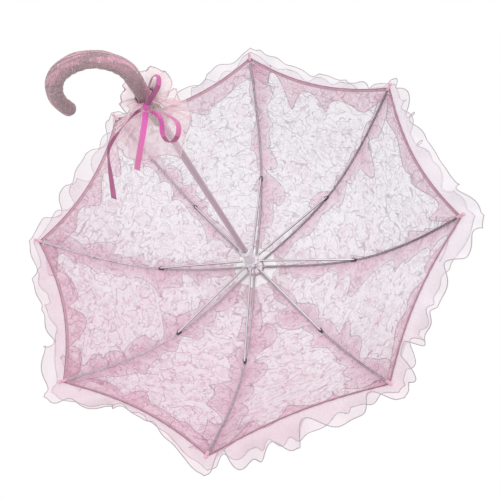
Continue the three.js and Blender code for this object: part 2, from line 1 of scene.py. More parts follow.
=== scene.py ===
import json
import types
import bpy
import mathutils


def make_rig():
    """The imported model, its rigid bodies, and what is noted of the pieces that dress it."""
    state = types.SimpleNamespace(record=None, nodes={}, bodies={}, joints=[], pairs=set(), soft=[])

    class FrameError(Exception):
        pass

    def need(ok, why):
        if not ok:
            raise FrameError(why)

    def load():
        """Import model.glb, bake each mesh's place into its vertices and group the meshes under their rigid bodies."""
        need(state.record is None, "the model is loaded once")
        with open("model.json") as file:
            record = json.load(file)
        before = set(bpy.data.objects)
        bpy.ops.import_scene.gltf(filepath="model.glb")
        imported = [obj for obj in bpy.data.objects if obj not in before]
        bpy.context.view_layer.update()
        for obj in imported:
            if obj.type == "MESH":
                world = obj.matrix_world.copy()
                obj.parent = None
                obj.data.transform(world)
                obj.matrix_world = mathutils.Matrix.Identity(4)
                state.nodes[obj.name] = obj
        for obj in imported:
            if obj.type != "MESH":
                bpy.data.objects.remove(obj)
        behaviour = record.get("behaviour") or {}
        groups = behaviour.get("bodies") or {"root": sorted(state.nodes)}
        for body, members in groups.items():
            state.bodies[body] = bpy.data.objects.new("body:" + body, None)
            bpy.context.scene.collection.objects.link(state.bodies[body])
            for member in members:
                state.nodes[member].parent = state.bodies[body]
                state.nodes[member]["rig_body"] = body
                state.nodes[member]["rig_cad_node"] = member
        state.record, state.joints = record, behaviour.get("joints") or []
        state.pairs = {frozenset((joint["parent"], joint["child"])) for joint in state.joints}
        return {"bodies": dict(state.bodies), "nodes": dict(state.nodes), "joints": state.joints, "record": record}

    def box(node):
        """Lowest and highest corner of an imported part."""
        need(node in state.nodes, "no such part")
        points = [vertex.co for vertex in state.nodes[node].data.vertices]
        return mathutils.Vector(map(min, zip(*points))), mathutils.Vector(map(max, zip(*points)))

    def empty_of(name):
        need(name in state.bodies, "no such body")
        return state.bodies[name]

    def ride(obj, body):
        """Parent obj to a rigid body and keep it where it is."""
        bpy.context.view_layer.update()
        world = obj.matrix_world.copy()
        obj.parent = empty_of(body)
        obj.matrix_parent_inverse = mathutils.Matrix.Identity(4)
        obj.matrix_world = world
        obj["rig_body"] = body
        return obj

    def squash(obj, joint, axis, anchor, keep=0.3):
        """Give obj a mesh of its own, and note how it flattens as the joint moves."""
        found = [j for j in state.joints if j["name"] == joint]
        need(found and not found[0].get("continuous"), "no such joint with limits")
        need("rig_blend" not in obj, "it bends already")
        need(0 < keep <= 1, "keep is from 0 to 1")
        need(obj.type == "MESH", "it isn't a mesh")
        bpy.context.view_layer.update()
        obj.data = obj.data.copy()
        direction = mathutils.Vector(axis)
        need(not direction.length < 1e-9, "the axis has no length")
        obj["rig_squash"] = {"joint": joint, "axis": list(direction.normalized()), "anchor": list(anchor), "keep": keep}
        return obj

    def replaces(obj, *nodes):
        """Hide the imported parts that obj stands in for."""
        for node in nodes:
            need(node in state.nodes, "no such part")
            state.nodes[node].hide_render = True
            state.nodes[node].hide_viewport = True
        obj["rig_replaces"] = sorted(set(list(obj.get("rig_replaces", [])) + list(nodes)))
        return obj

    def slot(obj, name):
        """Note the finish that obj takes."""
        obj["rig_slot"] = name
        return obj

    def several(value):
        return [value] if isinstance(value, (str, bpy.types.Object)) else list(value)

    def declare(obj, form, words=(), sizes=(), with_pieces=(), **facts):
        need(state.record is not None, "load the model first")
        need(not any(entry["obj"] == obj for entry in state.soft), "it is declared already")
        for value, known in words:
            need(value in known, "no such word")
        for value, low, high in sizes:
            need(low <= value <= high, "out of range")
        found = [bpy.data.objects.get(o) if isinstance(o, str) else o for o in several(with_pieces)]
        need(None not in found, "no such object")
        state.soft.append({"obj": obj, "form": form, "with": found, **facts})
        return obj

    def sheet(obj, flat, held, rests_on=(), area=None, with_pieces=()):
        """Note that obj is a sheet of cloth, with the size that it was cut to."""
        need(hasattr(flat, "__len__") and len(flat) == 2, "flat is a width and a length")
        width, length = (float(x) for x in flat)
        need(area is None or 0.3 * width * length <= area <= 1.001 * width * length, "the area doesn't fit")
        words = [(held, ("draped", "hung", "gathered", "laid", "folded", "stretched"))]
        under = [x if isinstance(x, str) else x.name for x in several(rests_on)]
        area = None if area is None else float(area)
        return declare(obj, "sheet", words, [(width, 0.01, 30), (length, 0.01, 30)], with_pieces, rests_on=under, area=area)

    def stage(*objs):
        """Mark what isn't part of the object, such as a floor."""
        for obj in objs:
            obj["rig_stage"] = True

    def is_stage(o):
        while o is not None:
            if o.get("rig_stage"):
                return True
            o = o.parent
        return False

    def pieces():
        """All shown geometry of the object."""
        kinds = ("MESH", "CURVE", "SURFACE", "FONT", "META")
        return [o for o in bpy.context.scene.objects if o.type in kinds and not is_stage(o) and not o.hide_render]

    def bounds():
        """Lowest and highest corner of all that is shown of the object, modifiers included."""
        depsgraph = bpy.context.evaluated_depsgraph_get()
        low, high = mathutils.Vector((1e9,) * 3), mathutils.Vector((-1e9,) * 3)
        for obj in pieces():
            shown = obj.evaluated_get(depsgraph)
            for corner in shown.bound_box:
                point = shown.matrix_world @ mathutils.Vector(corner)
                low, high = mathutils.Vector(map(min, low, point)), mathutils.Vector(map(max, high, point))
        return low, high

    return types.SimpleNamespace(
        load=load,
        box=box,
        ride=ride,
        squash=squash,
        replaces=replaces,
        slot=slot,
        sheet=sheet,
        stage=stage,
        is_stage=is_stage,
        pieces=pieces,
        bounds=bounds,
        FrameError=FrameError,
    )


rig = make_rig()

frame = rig.load()

import json
import math

import bmesh
import bpy
import numpy as np
from mathutils import Matrix, Vector

CAD_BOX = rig.bounds()
MM = 0.001
rad = math.radians

# ------------------------------------------------------------------ places from the frame
JOINTS = {j["name"]: j for j in frame["joints"]}


def joint_pos(name):
    return np.array(JOINTS[name]["pos_m"], float)


RIB_JOINTS = ["canopy_fold"] + ["rib_%d_fold" % k for k in range(2, 9)]
AZ = [math.atan2(joint_pos(n)[1], joint_pos(n)[0]) for n in RIB_JOINTS]
ZN = joint_pos("canopy_fold")[2] / MM
RING = math.hypot(*joint_pos("canopy_fold")[:2]) / MM
N = 8

# rib curve, the same law as the CAD's ribs (millimetres)
S_LEN, S_JOINT, START, TURN = 334.272, 143.232, rad(-4.1832), rad(51.3912)


def rib_table(n=2000):
    s = np.linspace(0, S_LEN, n + 1)
    k0 = 2 * TURN / S_LEN
    kap = np.where(s <= S_JOINT, k0 * s / S_JOINT, k0 * (S_LEN - s) / (S_LEN - S_JOINT))
    d = np.diff(s)
    a = START + np.concatenate([[0], np.cumsum((kap[1:] + kap[:-1]) / 2 * d)])
    r = RING + np.concatenate([[0], np.cumsum((np.cos(a[1:]) + np.cos(a[:-1])) / 2 * d)])
    w = np.concatenate([[0], np.cumsum((np.sin(a[1:]) + np.sin(a[:-1])) / 2 * d)])
    return s, r, w, a


TS, TR, TW, TA = rib_table()


def rib_at(s):
    return np.interp(s, TS, TR), np.interp(s, TS, TW), np.interp(s, TS, TA)


def smooth(a, b, x):
    t = np.clip((x - a) / (b - a), 0, 1)
    return t * t * (3 - 2 * t)


# ------------------------------------------------------------------ cloth surface of the canopy
HEM_SAG = 21.0
HALF = math.pi / N


def hem_s(u):
    return S_LEN - 1.5 - HEM_SAG * 4 * u * (1 - u)


def cloth(k, u, s, off=0.0):
    """Point on gore k (between rib k and rib k + 1) at u 0..1 across and s along the ribs, off outside it, in mm."""
    u, s, off = np.broadcast_arrays(
        np.asarray(u, float), np.asarray(s, float), np.asarray(off, float)
    )
    r, w, a = rib_at(s)
    base = 1.75 + 1.15 * smooth(S_LEN - 60, S_LEN - 26, s) + 0.9 * (1 - smooth(20, 50, s))
    # near the ribs the cloth rests on them; in between it pulls a little inwards
    t = off + base
    rr = r + t * np.sin(a)
    ww = w - t * np.cos(a)
    sag = 3.6 * np.sin(np.pi * u) ** 1.2 * smooth(30, 150, rr) * (1 - 0.25 * smooth(260, 310, rr))
    chord = 2 * rr * math.sin(HALF)
    q = (u - 0.5) * chord
    along = rr * math.cos(HALF)
    az = AZ[k] + HALF
    c, sn = math.cos(az), math.sin(az)
    return np.stack([along * c - q * sn, along * sn + q * c, ZN - (ww + sag)], -1)


def cloth_normal(k, u, s):
    e = 0.002
    du = cloth(k, np.clip(u + e, 0, 1), s) - cloth(k, np.clip(u - e, 0, 1), s)
    ds = cloth(k, u, s + 0.5) - cloth(k, u, s - 0.5)
    n = np.cross(ds, du)
    n /= np.linalg.norm(n, axis=-1, keepdims=True)
    n *= np.where(n[..., 2:] < 0, -1, 1)
    return n


# ------------------------------------------------------------------ mesh helpers
def new_object(name, verts, faces, uvs=None, materials=(), smooth_shade=True):
    me = bpy.data.meshes.new(name)
    me.from_pydata([tuple(v) for v in np.asarray(verts, float) * MM], [], [tuple(f) for f in faces])
    me.validate()
    me.update()
    if uvs is not None:
        layer = me.uv_layers.new(name="UVMap")
        idx = np.empty(len(me.loops), dtype=np.int32)
        me.loops.foreach_get("vertex_index", idx)
        layer.data.foreach_set("uv", (np.asarray(uvs, float)[idx]).astype(np.float32).ravel())
    for m in materials:
        me.materials.append(m)
    me.polygons.foreach_set("use_smooth", [smooth_shade] * len(me.polygons))
    o = bpy.data.objects.new(name, me)
    bpy.context.scene.collection.objects.link(o)
    return o


def grid_faces(n, m, close_n=False, close_m=False, base=0):
    faces = []
    for i in range(n if close_n else n - 1):
        for j in range(m if close_m else m - 1):
            a = i * m + j
            b = ((i + 1) % n) * m + j
            c = ((i + 1) % n) * m + (j + 1) % m
            d = i * m + (j + 1) % m
            faces.append((a + base, b + base, c + base, d + base))
    return faces


def grid_object(name, P, uv, mats, close_n=False, close_m=False):
    n, m = P.shape[:2]
    return new_object(
        name,
        P.reshape(-1, 3),
        grid_faces(n, m, close_n, close_m),
        None if uv is None else uv.reshape(-1, 2),
        mats,
    )


def tube_parts(line, radius, sides=6, base=0):
    """Vertices and faces of a thin closed tube along a line of points."""
    line = np.asarray(line, float)
    t = np.gradient(line, axis=0)
    t /= np.linalg.norm(t, axis=1, keepdims=True) + 1e-12
    ref = np.array([0.31, 0.17, 0.93])
    n = np.cross(t, ref)
    n /= np.linalg.norm(n, axis=1, keepdims=True) + 1e-12
    b = np.cross(t, n)
    ang = np.linspace(0, 2 * np.pi, sides, endpoint=False)
    radius = np.broadcast_to(radius, (len(line),))
    ring = line[:, None] + radius[:, None, None] * (
        n[:, None] * np.cos(ang)[None, :, None] + b[:, None] * np.sin(ang)[None, :, None]
    )
    verts = ring.reshape(-1, 3)
    faces = grid_faces(len(line), sides, False, True, base)
    faces.append(tuple(base + i for i in range(sides))[::-1])
    last = base + (len(line) - 1) * sides
    faces.append(tuple(last + i for i in range(sides)))
    return verts, faces


def area_mm2(P):
    a, b, c, d = P[:-1, :-1], P[1:, :-1], P[1:, 1:], P[:-1, 1:]
    return float(
        (np.linalg.norm(np.cross(b - a, c - a), axis=-1).sum() + np.linalg.norm(np.cross(c - a, d - a), axis=-1).sum()) / 2
    )


def catmull(P, n):
    P = np.asarray(P, float)
    Q = np.vstack([2 * P[0] - P[1], P, 2 * P[-1] - P[-2]])
    seg = len(P) - 1
    t = np.linspace(0, seg, n)
    i = np.minimum(t.astype(int), seg - 1)
    f = (t - i)[:, None]
    p0, p1, p2, p3 = Q[i], Q[i + 1], Q[i + 2], Q[i + 3]
    return 0.5 * ((2 * p1) + (p2 - p0) * f + (2 * p0 - 5 * p1 + 4 * p2 - p3) * f**2 + (3 * p1 - p0 - 3 * p2 + p3) * f**3)


# ------------------------------------------------------------------ node helpers
def material(name):
    m = bpy.data.materials.new(name)
    m.use_nodes = True
    nt = m.node_tree
    nt.nodes.clear()
    out = nt.nodes.new("ShaderNodeOutputMaterial")
    return m, nt, out


class NT:
    def __init__(self, nt):
        self.nt = nt

    def n(self, kind, **props):
        x = self.nt.nodes.new(kind)
        for k, v in props.items():
            setattr(x, k, v)
        return x

    def link(self, a, b):
        self.nt.links.new(a, b)

    def set(self, sock, v):
        if isinstance(v, bpy.types.NodeSocket):
            self.link(v, sock)
        else:
            sock.default_value = v

    def math(self, op, a, b=None, c=None, clamp=False):
        x = self.n("ShaderNodeMath", operation=op, use_clamp=clamp)
        self.set(x.inputs[0], a)
        if b is not None:
            self.set(x.inputs[1], b)
        if c is not None:
            self.set(x.inputs[2], c)
        return x.outputs[0]

    def ramp(self, v, lo, hi, a=0.0, b=1.0, smoothstep=True):
        x = self.n("ShaderNodeMapRange", interpolation_type="SMOOTHSTEP" if smoothstep else "LINEAR", clamp=True)
        self.set(x.inputs["Value"], v)
        x.inputs["From Min"].default_value = lo
        x.inputs["From Max"].default_value = hi
        x.inputs["To Min"].default_value = a
        x.inputs["To Max"].default_value = b
        return x.outputs["Result"]

    def mix(self, fac, a, b, blend="MIX"):
        x = self.n("ShaderNodeMix", data_type="RGBA", blend_type=blend)
        self.set(x.inputs[0], fac)
        self.set(x.inputs[6], a if isinstance(a, bpy.types.NodeSocket) else (*a, 1.0))
        self.set(x.inputs[7], b if isinstance(b, bpy.types.NodeSocket) else (*b, 1.0))
        return x.outputs[2]

    def noise(self, vec, scale, detail=3.0, rough=0.5, dist=0.0):
        x = self.n("ShaderNodeTexNoise")
        if vec is not None:
            self.link(vec, x.inputs["Vector"])
        x.inputs["Scale"].default_value = scale
        x.inputs["Detail"].default_value = detail
        x.inputs["Roughness"].default_value = rough
        x.inputs["Distortion"].default_value = dist
        return x

    def voronoi(self, vec, scale, feature="DISTANCE_TO_EDGE", rand=1.0, dims="2D"):
        x = self.n("ShaderNodeTexVoronoi", feature=feature, voronoi_dimensions=dims)
        if vec is not None:
            self.link(vec, x.inputs["Vector"])
        x.inputs["Scale"].default_value = scale
        x.inputs["Randomness"].default_value = rand
        return x

    def wave(self, vec, scale, direction="X", kind="BANDS", dist=0.0, detail=0.0):
        x = self.n("ShaderNodeTexWave", wave_type=kind)
        if kind == "BANDS":
            x.bands_direction = direction
        if vec is not None:
            self.link(vec, x.inputs["Vector"])
        x.inputs["Scale"].default_value = scale
        x.inputs["Distortion"].default_value = dist
        x.inputs["Detail"].default_value = detail
        return x.outputs["Fac"]

    def bump(self, height, strength, distance, normal=None):
        x = self.n("ShaderNodeBump")
        x.inputs["Strength"].default_value = strength
        x.inputs["Distance"].default_value = distance
        self.link(height, x.inputs["Height"])
        if normal is not None:
            self.link(normal, x.inputs["Normal"])
        return x.outputs["Normal"]

    def uv(self):
        return self.n("ShaderNodeTexCoord").outputs["UV"]

    def obj(self):
        return self.n("ShaderNodeTexCoord").outputs["Object"]

    def add_vec(self, a, b, scale_b=None):
        if scale_b is not None:
            s = self.n("ShaderNodeVectorMath", operation="SCALE")
            self.link(b, s.inputs[0])
            s.inputs["Scale"].default_value = scale_b
            b = s.outputs[0]
        x = self.n("ShaderNodeVectorMath", operation="ADD")
        self.link(a, x.inputs[0])
        self.link(b, x.inputs[1])
        return x.outputs[0]

    def centred(self, colour, amount):
        """A noise colour turned into a vector offset of both signs."""
        x = self.n("ShaderNodeVectorMath", operation="SUBTRACT")
        self.link(colour, x.inputs[0])
        x.inputs[1].default_value = (0.5, 0.5, 0.5)
        y = self.n("ShaderNodeVectorMath", operation="SCALE")
        self.link(x.outputs[0], y.inputs[0])
        y.inputs["Scale"].default_value = amount
        return y.outputs[0]

    def principled(self, **kw):
        x = self.n("ShaderNodeBsdfPrincipled")
        for k, v in kw.items():
            name = k.replace("_", " ")
            s = x.inputs[name]
            if isinstance(v, bpy.types.NodeSocket):
                self.link(v, s)
            elif isinstance(v, tuple) and len(v) == 3:
                s.default_value = (*v, 1.0)
            else:
                s.default_value = v
        return x


def srgb(r, g, b):
    def f(c):
        c /= 255
        return c / 12.92 if c <= 0.04045 else ((c + 0.055) / 1.055) ** 2.4

    return (f(r), f(g), f(b))


def cloth_shader(g, colour, normal, alpha, translucency=0.45, roughness=0.8, sheen=0.3):
    """Thin cloth: reflects and lets light through, with holes where alpha is low."""
    p = g.principled(Base_Color=colour, Roughness=roughness)
    p.inputs["Sheen Weight"].default_value = sheen
    p.inputs["Sheen Roughness"].default_value = 0.4
    p.inputs["Specular IOR Level"].default_value = 0.25
    if normal is not None:
        g.link(normal, p.inputs["Normal"])
    t = g.n("ShaderNodeBsdfTranslucent")
    g.link(colour, t.inputs["Color"])
    if normal is not None:
        g.link(normal, t.inputs["Normal"])
    m = g.n("ShaderNodeMixShader")
    m.inputs[0].default_value = translucency
    g.link(p.outputs[0], m.inputs[1])
    g.link(t.outputs[0], m.inputs[2])
    tr = g.n("ShaderNodeBsdfTransparent")
    x = g.n("ShaderNodeMixShader")
    g.set(x.inputs[0], alpha)
    g.link(tr.outputs[0], x.inputs[1])
    g.link(m.outputs[0], x.inputs[2])
    return x.outputs[0]


# UVs of cloth pieces are in units of 10 mm
def side_tone(g, lo=-0.16, hi=0.24):
    """0 on one side of the canopy and 1 on the other, along the direction 308 degrees, wavering with noise."""
    sp = g.n("ShaderNodeSeparateXYZ")
    g.link(g.obj(), sp.inputs[0])
    d = g.math("ADD", g.math("MULTIPLY", sp.outputs[0], math.cos(rad(308))), g.math("MULTIPLY", sp.outputs[1], math.sin(rad(308))))
    n = g.noise(g.obj(), 9.0, 2.0).outputs["Fac"]
    return g.ramp(g.math("ADD", d, g.math("MULTIPLY", g.math("SUBTRACT", n, 0.5), 0.22)), lo, hi)


def line_at(g, v, at, half, soft):
    """1 where v is within half of at, fading over soft."""
    return g.ramp(g.math("ABSOLUTE", g.math("SUBTRACT", v, at)), half, half + soft, 1.0, 0.0)


def lace_material(name):
    m, nt, out = material(name)
    g = NT(nt)
    p = g.uv()
    warp = g.noise(p, 0.5, 1.0, 0.5)
    warp2 = g.noise(p, 1.8, 1.0, 0.5)
    q = g.add_vec(p, g.centred(warp.outputs["Color"], 1.0))
    q = g.add_vec(q, g.centred(warp2.outputs["Color"], 0.30))
    warp3 = g.noise(p, 4.0, 0.0, 0.5)
    q = g.add_vec(q, g.centred(warp3.outputs["Color"], 0.10))
    # roses: a spiral of petals round each of the scattered centres
    cell = g.voronoi(q, 0.31, feature="F1", rand=0.72)
    sub = g.n("ShaderNodeVectorMath", operation="SUBTRACT")
    g.link(q, sub.inputs[0])
    g.link(cell.outputs["Position"], sub.inputs[1])
    sp = g.n("ShaderNodeSeparateXYZ")
    g.link(sub.outputs[0], sp.inputs[0])
    ang = g.math("ARCTAN2", sp.outputs[1], sp.outputs[0])
    ln = g.n("ShaderNodeVectorMath", operation="LENGTH")
    g.link(sub.outputs[0], ln.inputs[0])
    r = ln.outputs["Value"]
    sc = g.n("ShaderNodeSeparateColor")
    g.link(cell.outputs["Color"], sc.inputs[0])
    turn = g.math("MULTIPLY", sc.outputs[0], 6.28)
    size = g.math("MULTIPLY_ADD", sc.outputs[1], 0.35, 1.0)

    def petals(nn, a, extra):
        c = g.math("ABSOLUTE", g.math("COSINE", g.math("ADD", g.math("MULTIPLY", ang, nn / 2), g.math("ADD", turn, extra))))
        return g.math("DIVIDE", r, g.math("MULTIPLY", size, g.math("MULTIPLY_ADD", c, a, 1.0 - a)))

    l1 = line_at(g, petals(5, 0.26, 0.0), 1.10, 0.036, 0.04)
    l2 = g.math("MULTIPLY", line_at(g, petals(5, 0.30, 0.9), 0.76, 0.026, 0.04), 0.8)
    l3 = g.math("MULTIPLY", line_at(g, petals(3, 0.30, 0.3), 0.45, 0.022, 0.04), 0.7)
    l4 = g.math("MULTIPLY", line_at(g, petals(3, 0.25, 1.7), 0.20, 0.018, 0.035), 0.6)
    rose = g.math("MAXIMUM", g.math("MAXIMUM", l1, l2), g.math("MAXIMUM", l3, l4))
    inside = g.ramp(petals(5, 0.26, 0.0), 1.08, 1.14, 1.0, 0.0)
    # leaves and stems that wander between the roses
    leaf = g.voronoi(q, 0.50, rand=0.95)
    vine = g.ramp(leaf.outputs["Distance"], 0.030, 0.055, 1.0, 0.0)
    rib_ = g.math("MULTIPLY", line_at(g, leaf.outputs["Distance"], 0.15, 0.012, 0.02), 0.6)
    n2 = g.noise(q, 0.55, 0.0, 0.4, 0.5).outputs["Fac"]
    f2 = g.math("FRACT", g.math("MULTIPLY", n2, 7.0))
    twig = g.math("MULTIPLY", line_at(g, f2, 0.5, 0.05, 0.06), 0.55)
    vine = g.math("MULTIPLY", vine, 0.30)
    # crosswise filaments that wave between the flowers
    mp = g.n("ShaderNodeMapping")
    g.link(q, mp.inputs["Vector"])
    mp.inputs["Scale"].default_value = (0.6, 1.5, 1.0)
    fil = g.noise(mp.outputs[0], 0.42, 0.0, 0.4, 0.4).outputs["Fac"]
    f3 = g.math("FRACT", g.math("MULTIPLY", fil, 5.0))
    threads = g.math("MULTIPLY", line_at(g, f3, 0.5, 0.045, 0.065), 0.80)
    vine = g.math("MAXIMUM", vine, threads)
    outside = g.math("SUBTRACT", 1.0, inside)
    vines = g.math("MULTIPLY", g.math("MAXIMUM", vine, twig), outside)
    lines = g.math("MAXIMUM", g.math("MULTIPLY", rose, 0.85), g.math("MAXIMUM", vines, g.math("MULTIPLY", threads, 0.15)), clamp=True)
    # close-set filling inside the petals and some leaves
    fill = g.noise(q, 0.8, 1.0, 0.5).outputs["Fac"]
    solid = g.math("MULTIPLY", g.ramp(fill, 0.52, 0.60), g.math("MULTIPLY_ADD", inside, 0.13, 0.05))
    # hexagonal net
    mesh = g.voronoi(p, 7.0, rand=0.3)
    net_fac = g.ramp(mesh.outputs["Distance"], 0.06, 0.30, 1.0, 0.0)
    net_alpha = g.math("MULTIPLY_ADD", net_fac, 0.16, 0.30)
    cover = g.math("ADD", net_alpha, g.math("ADD", solid, g.math("MULTIPLY", lines, 0.46)), clamp=True)
    tone = side_tone(g)
    # the gathers of the eight seams double the cloth round the crown, which raises its cover; the grey-pink colour
    # there is painted shade, stronger on one side of the canopy
    pos = g.n("ShaderNodeSeparateXYZ")
    g.link(g.obj(), pos.inputs[0])
    from_axis = g.math("SQRT", g.math("ADD", g.math("MULTIPLY", pos.outputs[0], pos.outputs[0]), g.math("MULTIPLY", pos.outputs[1], pos.outputs[1])))
    patchy = g.noise(g.obj(), 22.0, 2.0, 0.5).outputs["Fac"]
    crown_double_and_shade = g.ramp(g.math("ADD", from_axis, g.math("MULTIPLY", g.math("SUBTRACT", patchy, 0.5), 0.09)), 0.030, 0.105, 1.0, 0.0)
    crown_double_and_shade = g.math("MULTIPLY", crown_double_and_shade, g.math("MULTIPLY_ADD", tone, 0.85, 0.10))
    cover = g.math("ADD", cover, g.math("ADD", g.math("MULTIPLY", tone, 0.10), g.math("MULTIPLY", crown_double_and_shade, 0.34)), clamp=True)
    blotch = g.noise(p, 0.25, 3.0, 0.6).outputs["Fac"]
    pink = g.math("ADD", g.math("MULTIPLY", tone, 0.85), g.math("MULTIPLY", g.ramp(blotch, 0.50, 0.66), 0.30), clamp=True)
    net = g.mix(pink, srgb(220, 211, 220), srgb(206, 168, 186))
    thread = g.mix(pink, srgb(176, 162, 174), srgb(190, 142, 164))
    # painted highlight and painted shade: each outline has a pale side and a shaded side, set by noise
    outline_highlight = g.noise(q, 0.9, 1.0).outputs["Fac"]
    thread = g.mix(g.ramp(outline_highlight, 0.56, 0.62), thread, g.mix(pink, srgb(232, 220, 230), srgb(240, 208, 224)))
    c = g.mix(solid, net, g.mix(pink, srgb(230, 212, 224), srgb(220, 160, 188)))
    c = g.mix(lines, c, thread)
    # painted shade: grey-pink round the crown
    c = g.mix(g.math("MULTIPLY", crown_double_and_shade, 0.62), c, srgb(208, 172, 182))
    height = g.math("ADD", lines, g.math("MULTIPLY", net_fac, 0.3))
    nrm = g.bump(height, 0.35, 0.0004)
    g.link(cloth_shader(g, c, nrm, cover, 0.5, 0.85, 0.2), out.inputs["Surface"])
    return m


def organza_material(name, pale, rosy, alpha_base, alpha_var=0.05, inner=None, tone_lo=-0.16, tone_hi=0.24, tie=None, fade=None):
    """Sheer woven cloth. With inner, the part with negative V takes that colour and cover; with tie, V near 0 is denser
    and takes tie's colour as painted shade, mostly on the -X side, and its pleats get a painted highlight.
    """
    m, nt, out = material(name)
    g = NT(nt)
    uv = g.uv()
    wx = g.wave(uv, 9.0, "X", dist=0.4, detail=1.0)
    wy = g.wave(uv, 9.0, "Y", dist=0.4, detail=1.0)
    weave = g.math("MULTIPLY", g.math("ADD", wx, wy), 0.5)
    n = g.noise(uv, 0.35, 3.0, 0.55)
    slub = g.noise(uv, 0.7, 2.0, 0.6).outputs["Fac"]
    a = g.math("MULTIPLY_ADD", weave, alpha_var, alpha_base - alpha_var / 2)
    tone = side_tone(g, tone_lo, tone_hi)
    c = g.mix(tone, pale, rosy)
    c = g.mix(g.math("MULTIPLY", g.ramp(n.outputs["Fac"], 0.35, 0.7), 0.5), c, tuple(min(1, x * 1.05 + 0.01) for x in pale))
    sp = g.n("ShaderNodeSeparateXYZ")
    g.link(uv, sp.inputs[0])
    if inner:
        where = g.ramp(sp.outputs[1], -0.12, 0.05, 1.0, 0.0)
        c = g.mix(where, c, inner[0])
        a = g.math("ADD", a, g.math("MULTIPLY", where, inner[1] - alpha_base))
    if tie:
        near = g.ramp(sp.outputs[1], 0.0, tie[1], 1.0, 0.0)
        streak = g.noise(uv, 1.6, 2.0).outputs["Fac"]
        so = g.n("ShaderNodeSeparateXYZ")
        g.link(g.obj(), so.inputs[0])
        shade_side_mask = g.ramp(so.outputs[0], -0.012, 0.004, 1.0, 0.15)
        # pleats: denser cloth in streaks, partly real cover and partly a painted highlight that whitens them
        mp = g.n("ShaderNodeMapping")
        g.link(uv, mp.inputs["Vector"])
        mp.inputs["Scale"].default_value = (1.0, 0.22, 1.0)
        pleat_and_highlight = g.noise(mp.outputs[0], 1.1, 2.0, 0.5).outputs["Fac"]
        c = g.mix(g.ramp(pleat_and_highlight, 0.52, 0.66), c, srgb(246, 236, 238))
        a = g.math("ADD", a, g.math("MULTIPLY", g.math("SUBTRACT", pleat_and_highlight, 0.5), 0.9), clamp=True)
        # painted shade: the gathers near the tie darken to the tie colour, mostly on the -X side
        tie_painted_shade = g.math("MULTIPLY", g.math("MULTIPLY", near, shade_side_mask), g.ramp(streak, 0.30, 0.50))
        c = g.mix(tie_painted_shade, c, tie[0])
        a = g.math("ADD", a, g.math("ADD", g.math("MULTIPLY", near, 0.16), g.math("MULTIPLY", tie_painted_shade, 0.34)), clamp=True)
    if fade:
        # gathered and dense where V is fade[0], and thinner towards fade[1]
        a = g.math("MULTIPLY", a, g.ramp(sp.outputs[1], fade[0], fade[1], fade[2], fade[3], smoothstep=False))
    a = g.math("ADD", a, g.math("MULTIPLY", g.math("SUBTRACT", slub, 0.5), 0.16), clamp=True)
    if inner:
        # the lace's flowers press into the layer behind it
        dab = g.voronoi(g.add_vec(uv, g.centred(n.outputs["Color"], 1.5)), 0.9, rand=1.0)
        a = g.math("MULTIPLY", a, g.math("SUBTRACT", 1.0, g.math("MULTIPLY", where, g.ramp(dab.outputs["Distance"], 0.10, 0.34, 0.0, 0.42))))
    nrm = g.bump(weave, 0.2, 0.0002)
    p = g.principled(Base_Color=c, Roughness=0.42, Normal=nrm)
    p.inputs["Sheen Weight"].default_value = 0.3
    p.inputs["Sheen Roughness"].default_value = 0.3
    p.inputs["Specular IOR Level"].default_value = 0.4
    t = g.n("ShaderNodeBsdfTranslucent")
    g.link(c, t.inputs["Color"])
    mx = g.n("ShaderNodeMixShader")
    mx.inputs[0].default_value = 0.5
    g.link(p.outputs[0], mx.inputs[1])
    g.link(t.outputs[0], mx.inputs[2])
    tr = g.n("ShaderNodeBsdfTransparent")
    x = g.n("ShaderNodeMixShader")
    g.link(a, x.inputs[0])
    g.link(tr.outputs[0], x.inputs[1])
    g.link(mx.outputs[0], x.inputs[2])
    g.link(x.outputs[0], out.inputs["Surface"])
    return m


def satin_material(name, colour, dark, rough=0.32, weave_scale=14.0, sheen=0.5, end_shade=None):
    m, nt, out = material(name)
    g = NT(nt)
    uv = g.uv()
    w = g.wave(uv, weave_scale, "Y", dist=0.6, detail=2.0)
    w2 = g.wave(uv, weave_scale * 0.5, "X", dist=0.3, detail=1.0)
    n = g.noise(uv, 0.8, 3.0, 0.5).outputs["Fac"]
    f = g.math("ADD", g.math("MULTIPLY", w, 0.35), g.math("MULTIPLY", n, 0.65))
    c = g.mix(g.ramp(f, 0.25, 0.75), dark, colour)
    # painted shade: from 10 to 46 mm along the ribbon on, its colour turns to the darker mauve given here
    if end_shade:
        sp = g.n("ShaderNodeSeparateXYZ")
        g.link(uv, sp.inputs[0])
        c = g.mix(g.ramp(sp.outputs[1], 1.0, 4.6), c, end_shade)
    nrm = g.bump(g.math("ADD", w, g.math("MULTIPLY", w2, 0.4)), 0.22, 0.00015)
    p = g.principled(Base_Color=c, Normal=nrm)
    g.link(g.ramp(w, 0, 1, rough - 0.05, rough + 0.1), p.inputs["Roughness"])
    p.inputs["Anisotropic"].default_value = 0.5
    p.inputs["Sheen Weight"].default_value = sheen
    p.inputs["Sheen Roughness"].default_value = 0.3
    g.link(p.outputs[0], out.inputs["Surface"])
    return m


def thread_material(name, colour, rough=0.5):
    m, nt, out = material(name)
    g = NT(nt)
    n = g.noise(g.obj(), 900.0, 2.0)
    c = g.mix(n.outputs["Fac"], tuple(x * 0.75 for x in colour), tuple(min(1, x * 1.15) for x in colour))
    nrm = g.bump(n.outputs["Fac"], 0.4, 0.0002)
    p = g.principled(Base_Color=c, Roughness=rough, Normal=nrm)
    g.link(p.outputs[0], out.inputs["Surface"])
    return m


